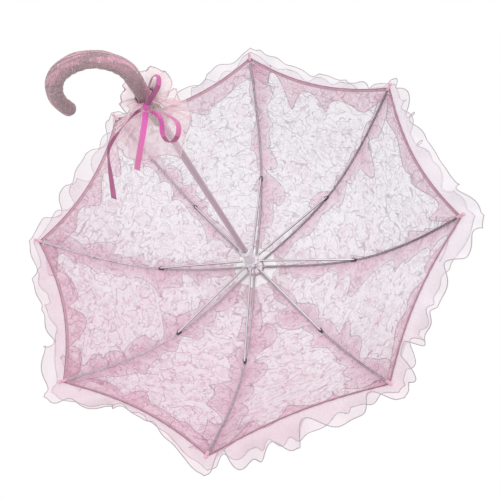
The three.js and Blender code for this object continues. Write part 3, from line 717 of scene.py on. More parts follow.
def metal_material(name, colour, rough, scale=220.0, metallic=1.0, wear_and_side_shade=0.15):
    m, nt, out = material(name)
    g = NT(nt)
    o = g.obj()
    n = g.noise(o, scale, 4.0, 0.6)
    big = g.noise(o, scale * 0.12, 2.0)
    c = g.mix(g.ramp(big.outputs["Fac"], 0.3, 0.7), tuple(x * (1 - wear_and_side_shade) for x in colour), colour)
    g2 = g.ramp(n.outputs["Fac"], 0.2, 0.8, rough * 0.75, rough * 1.35)
    nrm = g.bump(n.outputs["Fac"], 0.12, 0.0001)
    p = g.principled(Base_Color=c, Normal=nrm)
    p.inputs["Metallic"].default_value = metallic
    g.link(g2, p.inputs["Roughness"])
    g.link(p.outputs[0], out.inputs["Surface"])
    return m


def plastic_material(name, colour, rough, clear=0.0, sss=0.15):
    m, nt, out = material(name)
    g = NT(nt)
    o = g.obj()
    n = g.noise(o, 160.0, 3.0, 0.5)
    big = g.noise(o, 30.0, 2.0)
    c = g.mix(g.ramp(big.outputs["Fac"], 0.3, 0.7), tuple(x * 0.96 for x in colour), colour)
    nrm = g.bump(n.outputs["Fac"], 0.1, 0.0002)
    p = g.principled(Base_Color=c, Normal=nrm)
    g.link(g.ramp(n.outputs["Fac"], 0.2, 0.8, rough * 0.8, rough * 1.25), p.inputs["Roughness"])
    p.inputs["Subsurface Weight"].default_value = sss
    p.inputs["Subsurface Radius"].default_value = (0.004, 0.003, 0.003)
    if clear:
        p.inputs["Transmission Weight"].default_value = clear
        p.inputs["IOR"].default_value = 1.46
    g.link(p.outputs[0], out.inputs["Surface"])
    return m


def paint_material(name, colour, rough):
    m, nt, out = material(name)
    g = NT(nt)
    o = g.obj()
    peel = g.noise(o, 700.0, 2.0, 0.5)
    big = g.noise(o, 18.0, 3.0, 0.6)
    scr = g.n("ShaderNodeMapping")
    g.link(o, scr.inputs["Vector"])
    scr.inputs["Scale"].default_value = (900, 900, 14)
    scuff = g.noise(scr.outputs[0], 1.0, 3.0, 0.6).outputs["Fac"]
    c = g.mix(g.ramp(big.outputs["Fac"], 0.3, 0.7), tuple(x * 0.93 for x in colour), colour)
    c = g.mix(g.math("MULTIPLY", g.ramp(scuff, 0.62, 0.72), 0.35), c, tuple(min(1, x * 1.25) for x in colour))
    nrm = g.bump(g.math("ADD", peel.outputs["Fac"], g.math("MULTIPLY", scuff, 0.5)), 0.08, 0.0002)
    p = g.principled(Base_Color=c, Normal=nrm)
    p.inputs["Metallic"].default_value = 0.15
    p.inputs["Coat Weight"].default_value = 0.3
    p.inputs["Coat Roughness"].default_value = 0.25
    g.link(g.ramp(scuff, 0.3, 0.8, rough * 0.9, rough * 1.3), p.inputs["Roughness"])
    g.link(p.outputs[0], out.inputs["Surface"])
    return m


def handle_material(name):
    """Lace stretched over satin and sewn round the crook. UV: x round the handle, y along it, in 10 mm."""
    m, nt, out = material(name)
    g = NT(nt)
    uv = g.uv()
    warp = g.noise(uv, 1.6, 2.0)
    q = g.add_vec(uv, g.centred(warp.outputs["Color"], 0.7))
    n1 = g.noise(q, 1.3, 2.0, 0.5, 0.8).outputs["Fac"]
    line = line_at(g, g.math("FRACT", g.math("MULTIPLY", n1, 8.0)), 0.5, 0.08, 0.12)
    mid = g.voronoi(q, 3.0)
    vein = g.math("MULTIPLY", g.ramp(mid.outputs["Distance"], 0.04, 0.16, 1.0, 0.0), 0.7)
    net = g.voronoi(uv, 9.0, rand=0.5)
    mesh = g.math("MULTIPLY", g.ramp(net.outputs["Distance"], 0.05, 0.25, 1.0, 0.0), 0.35)
    lace = g.math("MAXIMUM", g.math("MAXIMUM", line, vein), mesh)
    # satin under the lace, with a painted highlight in long pink streaks along one side of the handle
    mp = g.n("ShaderNodeMapping")
    g.link(uv, mp.inputs["Vector"])
    mp.inputs["Scale"].default_value = (2.2, 0.35, 1)
    highlight_streaks = g.noise(mp.outputs[0], 1.0, 3.0, 0.6, 0.5).outputs["Fac"]
    sp = g.n("ShaderNodeSeparateXYZ")
    g.link(uv, sp.inputs[0])
    highlight_side = g.ramp(g.math("COSINE", g.math("MULTIPLY", sp.outputs[0], 1.25)), -0.2, 0.9)
    # painted highlight: pink streaks on one side round the handle, also lightening the lace there
    rosy = g.math("MULTIPLY", highlight_side, g.ramp(highlight_streaks, 0.38, 0.60))
    satin = g.mix(rosy, srgb(176, 148, 154), srgb(226, 168, 188))
    c = g.mix(g.math("MULTIPLY", lace, 0.75), satin, g.mix(rosy, srgb(148, 120, 126), srgb(200, 152, 168)))
    glint = g.noise(q, 4.5, 2.0).outputs["Fac"]
    c = g.mix(g.math("MULTIPLY", g.ramp(glint, 0.60, 0.70), 0.7), c, srgb(232, 206, 210))
    crease = g.noise(g.add_vec(uv, g.centred(g.noise(uv, 0.6).outputs["Color"], 2.0)), 1.6, 4.0, 0.65).outputs["Fac"]
    # painted shade: the cover is darker in its creases
    c = g.mix(g.ramp(crease, 0.60, 0.74), c, srgb(146, 116, 124))
    # painted shade: grey-green at the top of the handle, under the frill
    so = g.n("ShaderNodeSeparateXYZ")
    g.link(g.obj(), so.inputs[0])
    c = g.mix(g.ramp(so.outputs[2], 0.016, 0.021), c, g.mix(g.ramp(crease, 0.4, 0.6), srgb(206, 212, 202), srgb(178, 188, 176)))
    h = g.math("ADD", g.math("MULTIPLY", lace, 1.0), g.math("MULTIPLY", crease, 1.8))
    nrm = g.bump(h, 0.85, 0.0008)
    p = g.principled(Base_Color=c, Normal=nrm)
    g.link(g.ramp(lace, 0, 1, 0.42, 0.8), p.inputs["Roughness"])
    p.inputs["Sheen Weight"].default_value = 0.4
    p.inputs["Sheen Roughness"].default_value = 0.35
    g.link(p.outputs[0], out.inputs["Surface"])
    return m


LACE = lace_material("lace_pale")
ORGANZA = organza_material("organza_pink", srgb(233, 168, 194), srgb(216, 158, 180), 0.62, fade=(0.0, 1.76, 1.08, 0.40))
ORGANZA_RIM = organza_material("organza_rim", srgb(228, 216, 225), srgb(224, 188, 203), 0.40, inner=(srgb(240, 182, 202), 0.54))
# the tie colour of the frill is painted grey-green shade in its gathers beside the knot
ORGANZA_FRILL = organza_material("organza_frill", srgb(242, 212, 220), srgb(242, 212, 220), 0.43, tie=(srgb(178, 186, 174), 2.6))
SATIN_RIM = satin_material("satin_binding", srgb(206, 162, 178), srgb(180, 140, 154), rough=0.42)
# the ribbon's darker mauve further along its length is painted shade
RIBBON = satin_material("ribbon_fuchsia", srgb(226, 100, 190), srgb(204, 86, 162), rough=0.28, weave_scale=20.0, sheen=0.6, end_shade=srgb(200, 108, 156))
# painted shade: a darker copy of the ribbon satin for the shaded spans of the bow
RIBBON_SHADE = satin_material("ribbon_painted_shade", srgb(182, 92, 140), srgb(132, 82, 108), rough=0.34, weave_scale=20.0, sheen=0.5)
HEM = thread_material("hem_thread", srgb(178, 170, 174))
HEM_IN = thread_material("hem_thread_seam", srgb(132, 120, 128))
HEM_PALE = thread_material("hem_thread_pale", srgb(214, 196, 202))
STITCH = thread_material("stitch_thread", srgb(226, 180, 194), 0.7)
# painted shade: a dark thread colour for the cord that stands in for the shadow line at the binding's fold
FOLD_SHADE_CORD = thread_material("binding_fold_shade", srgb(156, 116, 132), 0.7)


def channel_material(name, wear_and_side_shade=(150, 140, 146), sides=((124, 114, 120), (182, 172, 176))):
    """Bright zinc on the web of a channel and duller on its two thin sides: painted shade, mottled by noise and varying
    across the canopy.
    """
    m, nt, out = material(name)
    g = NT(nt)
    o = g.obj()
    sp = g.n("ShaderNodeSeparateXYZ")
    g.link(o, sp.inputs[0])
    ang = g.math("ARCTAN2", sp.outputs[1], sp.outputs[0])
    step = 2 * math.pi / N
    turned = g.math("ADD", ang, -AZ[0] + 8 * step + step / 2)
    off = g.math("SUBTRACT", g.math("MODULO", turned, step), step / 2)
    rr_ = g.math("SQRT", g.math("ADD", g.math("MULTIPLY", sp.outputs[0], sp.outputs[0]), g.math("MULTIPLY", sp.outputs[1], sp.outputs[1])))
    across = g.math("ABSOLUTE", g.math("MULTIPLY", rr_, g.math("SINE", off)))
    flange_shade_mask = g.ramp(across, 0.00052, 0.00082)
    n = g.noise(o, 240.0, 4.0, 0.6).outputs["Fac"]
    big = g.noise(o, 26.0, 2.0).outputs["Fac"]
    c = g.mix(g.ramp(big, 0.3, 0.7), srgb(222, 216, 220), srgb(240, 236, 240))
    side_shade_colour = g.mix(side_tone(g, -0.05, 0.16), srgb(*sides[0]), srgb(*sides[1]))
    # painted shade on the thin sides of the channel
    c = g.mix(flange_shade_mask, c, g.mix(g.ramp(n, 0.35, 0.65), side_shade_colour, srgb(*wear_and_side_shade)))
    p = g.principled(Base_Color=c, Normal=g.bump(n, 0.12, 0.0001))
    p.inputs["Metallic"].default_value = 0.55
    g.link(g.ramp(n, 0.2, 0.8, 0.28, 0.46), p.inputs["Roughness"])
    g.link(p.outputs[0], out.inputs["Surface"])
    return m


STEEL = channel_material("rib_steel")
# painted light: copies of the rib steel with lighter painted shade on the thin sides, for ribs 8, 1 and 7 and stretcher
# 8
STEEL_SOFT_SIDE_SHADE = channel_material("rib_steel_pale", (204, 194, 199), ((196, 186, 190), (226, 218, 221)))
STEEL_MID_SIDE_SHADE = channel_material("rib_steel_mid", (176, 167, 172), ((160, 150, 156), (204, 195, 199)))
DARK = metal_material("joiner_steel", srgb(92, 86, 90), 0.42, metallic=0.8)
PLASTIC = plastic_material("white_plastic", srgb(248, 244, 248), 0.35, clear=0.3, sss=0.2)
PLASTIC_SOLID = plastic_material("white_plastic_solid", srgb(248, 242, 246), 0.35)
TIP = plastic_material("tip_pink", srgb(222, 176, 192), 0.4, sss=0.0)
PAINT = paint_material("shaft_paint", srgb(184, 162, 173), 0.38)
HANDLE = handle_material("handle_lace")
ROSETTE = satin_material("rosette_cloth", srgb(252, 250, 250), srgb(244, 239, 241), rough=0.6, weave_scale=8.0, sheen=0.3)


# ------------------------------------------------------------------ CAD nodes that stay: smooth faces and a material each
def dress(node, mat, angle=40.0):
    o = frame["nodes"][node]
    me = o.data
    me.materials.clear()
    me.materials.append(mat)
    me.polygons.foreach_set("use_smooth", [True] * len(me.polygons))
    try:
        me.set_sharp_from_angle(angle=rad(angle))
    except AttributeError:
        pass
    me.update()
    return o


for k in range(1, 9):
    dress("rib_%d" % k, {8: STEEL_SOFT_SIDE_SHADE, 1: STEEL_MID_SIDE_SHADE, 7: STEEL_MID_SIDE_SHADE}.get(k, STEEL), 30)
    dress("stretcher_%d" % k, {8: STEEL_MID_SIDE_SHADE}.get(k, STEEL), 30)
    dress("joint_pin_%d" % k, DARK, 30)
    dress("rib_tip_%d" % k, TIP, 60)
dress("shaft_tube", PAINT, 40)
dress("stop_pin", DARK)
dress("top_notch", PLASTIC_SOLID, 30)
dress("notch_wire", DARK, 80)
dress("runner_wire", DARK, 80)
dress("runner", PLASTIC, 30)
dress("top_catch", STEEL)
dress("hand_catch", STEEL)
dress("ferrule", PLASTIC_SOLID, 40)

# ------------------------------------------------------------------ canopy
rng = np.random.RandomState(7)


def rim_series(modes, seed):
    r = np.random.RandomState(seed)
    amp = np.array([1.0 / (1 + 0.25 * abs(m - modes[len(modes) // 2]) / 3) for m in modes]) * (0.5 + r.rand(len(modes)))
    ph = r.rand(len(modes)) * 2 * np.pi
    amp /= np.sqrt((amp**2).sum() / 2)

    def f(t):
        return sum(a * np.sin(2 * np.pi * m * t / N + p) for a, m, p in zip(amp, modes, ph)) / 1.4

    return f


wave_n = rim_series([15, 19, 23, 27, 31, 36, 41], 3)
wave_t = rim_series([14, 18, 23, 27, 31], 11)
wave_b = rim_series([17, 21, 26, 30, 35, 43], 71)
wave_w = rim_series([5, 8, 11, 14, 17], 23)
wave_in = rim_series([17, 21, 25, 30, 35, 41], 31)
wave_in_t = rim_series([18, 24, 28, 33], 37)


def seam_series(seed):
    r = np.random.RandomState(seed)
    ms = np.array([3.5, 5.0, 6.3, 7.7, 9.4])
    a = 0.5 + r.rand(len(ms))
    a /= np.sqrt((a**2).sum() / 2)
    ph = r.rand(len(ms)) * 2 * np.pi
    return lambda v: sum(x * np.sin(2 * np.pi * m * v + p) for x, m, p in zip(a, ms, ph)) / 1.4


# how much of the flounce stands outside the rim, round the rim from rib 1; the rest is turned back over the canopy
RIM_T = [0, 0.2, 0.5, 0.8, 1.0, 1.3, 1.7, 1.85, 2.0, 2.25, 2.5, 2.8, 2.95, 3.05, 3.3, 3.6, 3.85, 4.0, 4.3, 4.6, 5.0, 5.3,
         5.6, 5.85, 6.0, 6.15, 6.35, 6.65, 6.82, 7.0, 7.25, 7.6, 7.85, 8.0]
RIM_M = [0.5, 0.95, 1.0, 0.75, 0.4, 0.55, 0.75, 0.75, 0.6, 0.7, 0.55, 0.35, 0.5, 0.9, 0.85, 0.85, 0.95, 1.0, 1.05, 0.95, 0.85, 1.1,
         1.3, 1.1, 1.0, 0.7, 0.3, 0.25, 1.1, 1.1, 0.95, 1.1, 0.8, 0.5]


def rim_share(t):
    """The share as a smooth closed curve."""
    t = np.asarray(t, float) % N
    w = np.linspace(-0.12, 0.12, 9)
    return np.mean([np.interp((t + d_) % N, RIM_T, RIM_M) for d_ in w], axis=0)


FLOUNCE = 31.0
FLOUNCE2 = 22.0
INNER = 27.0
KEEP = 0.4
# seam ruffles that are cut wider or narrower than the rest, by gore and half
SEAM_BROAD = {(4, 0): 2.1, (7, 1): 1.5, (2, 0): 1.5, (1, 1): 0.6, (3, 0): 1.3, (2, 1): 0.6, (3, 1): 0.6}
pieces_of = {}

for k in range(N):
    k2 = (k + 1) % N
    for half in (0, 1):
        rib = k if half == 0 else k2
        tag = "%d%s" % (k + 1, "ab"[half])
        body = "rib_arm_%d" % (rib + 1)
        anchor = joint_pos(RIB_JOINTS[rib])
        axis = (-math.sin(AZ[rib]), math.cos(AZ[rib]), 0.0)
        u0, u1 = (0.0, 0.5) if half == 0 else (0.5, 1.0)

        # panel
        nu, nv = 22, 70
        u = np.linspace(u0, u1, nu)
        hem = hem_s(u)
        v = np.linspace(0, 1, nv)
        S = 1.5 + v[None, :] * (hem[:, None] - 1.5)
        U = np.broadcast_to(u[:, None], S.shape)
        P = cloth(k, U, S)
        nrm = cloth_normal(k, U, S)
        # slack between the rib and the middle, and small pulls near the rim
        pulls = 0.5 * np.sin(S / 9.0 + 3 * np.sin(U * 9 + k)) * smooth(0.02, 0.2, U) * smooth(0.02, 0.2, 1 - U) * smooth(120, 260, S)
        P = P + nrm * pulls[..., None]
        chord = 2 * rib_at(S)[0] * math.sin(HALF)
        uv = np.stack([(U - 0.5) * chord / 10 + 40 * k, S / 10], -1)
        panel = grid_object("canopy_panel_" + tag, P, uv, [LACE])
        parts = [(panel, area_mm2(P), "stretched", (chord[:, -1].max() / 2, S_LEN))]

        # satin binding folded over the rim
        e = np.array([-4.5, -3.9, -2.3, -0.5, 0.2, 0.5, 0.2, -0.5, -2.3, -3.9, -4.5])
        o_ = np.array([0.25, 0.55, 0.6, 0.55, 0.4, 0.0, -0.4, -0.55, -0.6, -0.55, -0.25])
        nb = 60
        ub = np.linspace(u0, u1, nb)
        S2 = hem_s(ub)[:, None] + e[None, :]
        U2 = np.broadcast_to(ub[:, None], S2.shape)
        base = cloth(k, U2, S2)
        ripple = 0.18 * np.sin(ub * 95 + k)[:, None]
        P2 = base + cloth_normal(k, U2, S2) * (o_[None, :] * 1.15 + ripple)[..., None]
        uv2 = np.stack([U2 * 12, np.broadcast_to(np.arange(len(e))[None, :] * 0.12, S2.shape)], -1)
        binding = grid_object("rim_binding_" + tag, P2, uv2, [SATIN_RIM])
        rim_len = float(np.linalg.norm(np.diff(cloth(k, ub, hem_s(ub)), axis=0), axis=1).sum())
        parts.append((binding, area_mm2(P2), "folded", (rim_len, 10.4)))

        # rim ruffle: a strip of organza sewn along its middle to the rim, one side outside it and one over the canopy
        nr, nw = 170, 26
        n_in = 11
        ur = np.linspace(u0, u1, nr)
        t = k + ur
        d = np.concatenate([np.linspace(-INNER, 0, n_in)[:-1], np.linspace(0, FLOUNCE, nw - n_in + 1)])
        root_p = cloth(k, ur, hem_s(ur) - 1.0, 0.9)
        az_mid = np.arctan2(root_p[:, 1], root_p[:, 0])
        out_dir = np.stack([np.cos(az_mid), np.sin(az_mid), np.zeros(nr)], 1)
        side = np.stack([-np.sin(az_mid), np.cos(az_mid), np.zeros(nr)], 1)
        down = np.array([0, 0, -1.0])
        tipness = np.exp(-((np.minimum(ur, 1 - ur) / 0.055) ** 2))
        lean0 = rad(24)
        lean1 = rad(14) + rad(62) * np.clip(wave_n(t), -1.25, 1.25) * (1 - 0.75 * tipness)
        share_out = rim_share(t)
        turned_in = 1 + 0.75 * (1 - np.minimum(share_out, 1))
        # where the flounce lies flatter, with wide soft lobes
        calm = 1 - 0.9 * np.exp(-(((t - 6.93) / 0.12) ** 2)) - 0.42 * smooth(7.0, 7.12, t) * (1 - smooth(7.88, 7.98, t))
        width = FLOUNCE * (1 + 0.10 * wave_w(t + 0.13)) * (1 - 0.22 * tipness) * share_out
        P3 = np.zeros((nr, nw, 3))
        P3[:, n_in - 1] = root_p

        def flare_out(P, j0, dd_, full, wn, wt, wid, l0, gather_n):
            for j in range(j0, j0 + len(dd_) - 1):
                x0, x1 = dd_[j - j0] / full, dd_[j - j0 + 1] / full
                x = (x0 + x1) / 2
                w_ = smooth(0.0, 0.55, x)
                lean = l0 * (1 - w_) + (rad(14) + rad(66) * calm * np.clip(wn, -1.3, 1.3) * (1 - 0.78 * tipness)) * w_
                lean = np.clip(lean + rad(9) * calm * wt * smooth(0.5, 1.0, x), rad(-80), rad(86))
                step = wid * (x1 - x0)
                shear = 0.22 * calm * wt * smooth(0.1, 0.8, x) * (1 - 0.6 * tipness)
                P[:, j + 1] = (
                    P[:, j]
                    + out_dir * (np.cos(lean) * step)[:, None]
                    + down * (np.sin(lean) * step)[:, None]
                    + side * (shear * step)[:, None]
                )
            for j in range(j0 + 1, j0 + len(dd_)):
                x = dd_[j - j0] / full
                P[:, j, 2] += 0.5 * np.sin(2 * np.pi * t * gather_n + 2.5 * np.sin(t * 7)) * (1 - x) ** 2 * min(1, x * 14)

        flare_out(P3, n_in - 1, d[n_in - 1 :], FLOUNCE, wave_n(t), wave_t(t), width, lean0, 30)
        n2 = 14
        d2 = np.linspace(0, FLOUNCE2, n2)
        P5 = np.zeros((nr, n2, 3))
        P5[:, 0] = root_p + np.array([0, 0, 1.1])
        width2 = FLOUNCE2 * (1 + 0.16 * wave_w(t + 2.4)) * (1 - 0.25 * tipness) * share_out
        flare_out(P5, 0, d2, FLOUNCE2, wave_b(t) - 0.35, wave_t(t + 1.7), width2, rad(2), 34)
        for j in range(n_in - 1):
            x = -d[j] / INNER
            s_ = hem_s(ur) - 1.0 - INNER * x * turned_in * (0.74 + 0.34 * wave_in(t) + 0.12 * wave_w(t + 0.37)) * (1 - 0.1 * tipness)
            uu = np.clip(ur + (7.0 * x**1.3 * wave_in_t(t)) / 230.0, 0.002, 0.998)
            lift = np.maximum(1.0 + 2.6 * x**0.8 * (1.25 + wave_in(t + 0.07)), 0.9)
            P3[:, j] = cloth(k, uu, s_, lift)
        uvr = np.stack(np.broadcast_arrays((ur * 230 * 1.4 / 10 + 50 * k)[:, None], (d / 10)[None, :]), -1)
        ruffle = grid_object("rim_ruffle_" + tag, P3, uvr, [ORGANZA_RIM])
        parts.append((ruffle, area_mm2(P3), "gathered", (rim_len * 1.4, INNER + FLOUNCE)))
        uv5 = np.stack(np.broadcast_arrays((ur * 230 * 1.5 / 10 + 50 * k + 13)[:, None], (d2 / 10 + 0.3)[None, :]), -1)
        ruffle2 = grid_object("rim_ruffle_top_" + tag, P5, uv5, [ORGANZA_RIM])
        parts.append((ruffle2, area_mm2(P5), "gathered", (rim_len * 1.5, FLOUNCE2 * float(share_out.max()))))

        # seam ruffle: lies outside the canopy along the rib
        ns, nq = 130, 9
        vs = np.linspace(0, 1, ns)
        s_line = 26 + vs * (S_LEN - 26 - 10)
        f = seam_series(100 + rib * 2 + half)
        fn = seam_series(300 + rib * 2 + half)
        grow = 0.35 + 0.65 * smooth(0, 0.35, vs)
        broad = SEAM_BROAD.get((k, half), 1.0)
        P4 = np.zeros((ns, nq, 3))
        for j in range(nq):
            x = j / (nq - 1)
            flare = np.maximum(0, np.sin(2 * np.pi * (1.7 * vs + 0.37 * rib + 0.5 * half))) ** 5
            wide = 1.0 + 0.55 * max(0.0, math.cos(AZ[rib] - rad(300)))
            wid = (13.0 + 6.0 * f(vs) + 15 * flare) * wide * broad * grow * x
            s_ = s_line + 6.0 * x * fn(vs + 0.3)
            s_ = np.clip(s_, 6, S_LEN - 4)
            r_ = rib_at(s_)[0]
            ch = 2 * r_ * math.sin(HALF)
            uu = wid / ch if half == 0 else 1 - wid / ch
            uu = np.clip(uu, 0.0, 0.48) if half == 0 else np.clip(uu, 0.52, 1.0)
            lift = 0.8 + 3.2 * x**0.8 * (1.2 + fn(vs)) * grow
            P4[:, j] = cloth(k, uu, s_, np.maximum(lift, 0.7))
        seam_len = float(np.linalg.norm(np.diff(P4[:, 0], axis=0), axis=1).sum())
        uvs4 = np.stack(np.broadcast_arrays((s_line / 7)[:, None], (np.arange(nq) * 0.22)[None, :]), -1)
        seam = grid_object("seam_ruffle_" + tag, P4, uvs4, [ORGANZA])
        parts.append((seam, area_mm2(P4), "gathered", (seam_len * 1.3, 26.0 * max(1.0, broad))))

        # hem threads of the three ruffle edges, and the stitch line of the binding
        V, F = [], []
        base_i = 0
        inner_from = 0
        for line, rr_ in ((P3[:, -1], 0.58), (P5[:, -1], 0.45), (P3[:, 0], 0.42), (P4[:, -1], 0.42)):
            vv, ff = tube_parts(line, rr_, 5, base_i)
            V.append(vv)
            F += ff
            base_i += len(vv)
            if rr_ > 0.43:
                inner_from = len(F)
        trim = new_object("ruffle_hem_" + tag, np.vstack(V), F, None, [HEM, HEM_IN])
        for q in range(inner_from, len(trim.data.polygons)):
            trim.data.polygons[q].material_index = 1
        V, F = [], []
        base_i = 0
        nst = 34
        for i in range(nst):
            a0 = u0 + (u1 - u0) * (i + 0.18) / nst
            a1 = u0 + (u1 - u0) * (i + 0.82) / nst
            for side in (1, -1):
                uu = np.linspace(a0, a1, 4)
                ln = cloth(k, uu, hem_s(uu) - 3.0) + cloth_normal(k, uu, hem_s(uu) - 3.0) * side * 0.85
                vv, ff = tube_parts(ln, 0.16, 4, base_i)
                V.append(vv)
                F += ff
                base_i += len(vv)
        n_st = len(F)
        # painted shade: a dark cord along the binding's fold stands in for its shadow line
        uc = np.linspace(u0, u1, 60)
        vv, ff = tube_parts(cloth(k, uc, hem_s(uc) + 0.1, -0.9), 0.42, 6, base_i)
        V.append(vv)
        F += ff
        stitch = new_object("rim_stitch_" + tag, np.vstack(V), F, None, [STITCH, FOLD_SHADE_CORD])
        for q in range(n_st, len(F)):
            stitch.data.polygons[q].material_index = 1

        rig.replaces(panel, "canopy_gore_%d" % (k + 1))
        for o in [x[0] for x in parts] + [trim, stitch]:
            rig.ride(o, body)
            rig.squash(o, "canopy_fold", axis=axis, anchor=tuple(anchor), keep=KEEP)
        for o, area, held, (w_, l_) in parts:
            a_flat = area * MM * MM
            fl = (w_ * MM, l_ * MM)
            rect = fl[0] * fl[1]
            if a_flat > rect:
                fl = (fl[0] * a_flat / rect, fl[1])
                rect = a_flat
            share = max(0.3, min(1.0, a_flat / rect))
            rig.sheet(o, flat=fl, held=held, rests_on=["rib_%d" % (rib + 1)], area=share * rect)
        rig.slot(panel, "lace")
        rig.slot(binding, "ribbon")
        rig.slot(ruffle, "organza")
        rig.slot(ruffle2, "organza")
        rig.slot(seam, "organza")

# crimped joiners where the stretchers hang on the ribs
for k in range(N):
    body = "rib_arm_%d" % (k + 1)
    sj = joint_pos("stretcher_%d_fold" % (k + 1)) / MM
    c, sn = math.cos(AZ[k]), math.sin(AZ[k])
    er, et, ez = np.array([c, sn, 0]), np.array([-sn, c, 0]), np.array([0, 0, 1.0])
    a_ = float(rib_at(S_JOINT)[2])
    along = er * math.cos(a_) - ez * math.sin(a_)
    up = er * math.sin(a_) + ez * math.cos(a_)
    rc = er * float(rib_at(S_JOINT)[0]) + ez * (ZN - float(rib_at(S_JOINT)[1]))
    # a strap folded round the rib: open loop in section, bulging at its middle
    nl, na_ = 18, 22
    xs = np.linspace(-4.2, 4.2, nl)
    th = np.linspace(rad(-128), rad(128), na_)
    P6 = np.zeros((nl, na_ * 2, 3))
    for i_, x_ in enumerate(xs):
        bulge = 0.28 * math.exp(-((x_ / 1.6) ** 2)) + 0.12 * math.cos(x_ * 2.4)
        for sgn, col in ((1, 0), (-1, 1)):
            wdt, hgt = 1.72 + bulge + sgn * 0.16, 1.62 + bulge + sgn * 0.16
            px_ = np.sign(np.sin(th)) * np.abs(np.sin(th)) ** 0.7 * wdt
            pz_ = -np.sign(np.cos(th)) * np.abs(np.cos(th)) ** 0.7 * hgt
            pts_ = rc + along * x_ + et * px_[:, None] + up * (pz_ - 0.1)[:, None]
            if col:
                P6[i_, na_:] = pts_[::-1]
            else:
                P6[i_, :na_] = pts_
    V, F, base_i = [P6.reshape(-1, 3)], grid_faces(nl, na_ * 2, False, True), nl * na_ * 2
    for row, flip in ((0, True), (nl - 1, False)):
        for j in range(na_ - 1):
            q = (row * na_ * 2 + j, row * na_ * 2 + j + 1, row * na_ * 2 + 2 * na_ - 2 - j, row * na_ * 2 + 2 * na_ - 1 - j)
            F.append(q[::-1] if flip else q)
    # rivet head and its washer on each side
    for sgn in (1, -1):
        prof_ = np.array([[0.0, 1.25], [0.6, 1.2], [1.15, 0.85], [1.3, 0.45], [1.9, 0.4], [2.0, 0.2], [1.9, 0.0], [0.2, 0.0]])
        nh = 18
        ah = np.linspace(0, 2 * np.pi, nh, endpoint=False)
        R_ = np.zeros((nh, len(prof_), 3))
        for j, (r_, h_) in enumerate(prof_):
            R_[:, j] = sj + et * sgn * (1.75 + h_) + (along[None] * np.cos(ah)[:, None] + up[None] * np.sin(ah)[:, None]) * max(r_, 0.02)
        V.append(R_.reshape(-1, 3))
        F += grid_faces(nh, len(prof_), True, False, base_i)
        F.append(tuple(base_i + i_ * len(prof_) for i_ in range(nh)))
        F.append(tuple(base_i + i_ * len(prof_) + len(prof_) - 1 for i_ in range(nh))[::-1])
        base_i += nh * len(prof_)
    crimp = new_object("joint_crimp_%d" % (k + 1), np.vstack(V), F, None, [DARK])
    bm = bmesh.new()
    bm.from_mesh(crimp.data)
    bmesh.ops.recalc_face_normals(bm, faces=bm.faces)
    bm.to_mesh(crimp.data)
    bm.free()
    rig.ride(crimp, body)
    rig.slot(crimp, "dark_steel")

# crown: small round of lace and cloth between the notch and the ferrule
nr, na = 8, 96
rr = np.linspace(4.7, 14.0, nr)
aa = np.linspace(0, 2 * np.pi, na, endpoint=False)
Pc = np.zeros((na, nr, 3))
for j, r_ in enumerate(rr):
    z = ZN + 5.75 + 0.15 * np.sin(aa * 16) * (j / nr) - 0.35 * smooth(11, 14, r_)
    Pc[:, j] = np.stack([r_ * np.cos(aa), r_ * np.sin(aa), np.broadcast_to(z, aa.shape)], 1)
uvc = np.stack(np.broadcast_arrays(Pc[..., 0] / 10, Pc[..., 1] / 10), -1)
crown = grid_object("crown_cloth", Pc, uvc, [ROSETTE], close_n=True)
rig.ride(crown, "shaft")
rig.sheet(crown, flat=(0.029, 0.029), held="stretched", rests_on=["top_notch"], area=area_mm2(Pc) * 1e-6)
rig.slot(crown, "rosette_cloth")

# ------------------------------------------------------------------ rosette under the crown: eight petals with a fold in each
lo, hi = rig.box("inner_rosette")
zr = (lo.z + hi.z) / 2 / MM
for k in range(N):
    for half in (0, 1):
        rib = k if half == 0 else (k + 1) % N
        tag = "%d%s" % (k + 1, "ab"[half])
        anchor = joint_pos(RIB_JOINTS[rib])
        axis = (-math.sin(AZ[rib]), math.cos(AZ[rib]), 0.0)
        na, nr = 16, 14
        rel = np.linspace(0, 0.5, na) + 0.5 * half
        aa = AZ[k] + rel * 2 * np.pi / N
        edge = 30.6 / np.cos((rel - 0.5) * 2 * np.pi / N) * (1 - 0.045 * np.cos(2 * np.pi * rel) ** 2) + 1.6 * np.abs(np.cos(np.pi * rel))
        Pr = np.zeros((na, nr, 3))
        for j in range(nr):
            x = j / (nr - 1)
            r_ = 11.7 + (edge - 11.7) * x
            z = zr + 0.25 * np.cos(2 * np.pi * rel * 2) * x - 0.12 * x + 0.06 * np.sin(aa * 24) * x
            Pr[:, j] = np.stack([r_ * np.cos(aa), r_ * np.sin(aa), z], 1)
        uvp = np.stack([Pr[..., 0] / 10, Pr[..., 1] / 10], -1)
        petal = grid_object("petal_" + tag, Pr, uvp, [ROSETTE])
        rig.replaces(petal, "inner_rosette")
        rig.ride(petal, "rib_arm_%d" % (rib + 1))
        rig.squash(petal, "canopy_fold", axis=axis, anchor=tuple(anchor), keep=KEEP)
        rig.sheet(petal, flat=(0.0142, 0.0225), held="stretched", rests_on=["rib_%d" % (rib + 1)], area=min(area_mm2(Pr) * 1e-6, 0.0142 * 0.0225))
        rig.slot(petal, "rosette_cloth")
        vv, ff = tube_parts(Pr[:, -1], 0.3, 5)
        ph_ = new_object("petal_hem_" + tag, vv, ff, None, [HEM_PALE])
        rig.ride(ph_, "rib_arm_%d" % (rib + 1))
        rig.squash(ph_, "canopy_fold", axis=axis, anchor=tuple(anchor), keep=KEEP)
        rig.slot(ph_, "rosette_cloth")

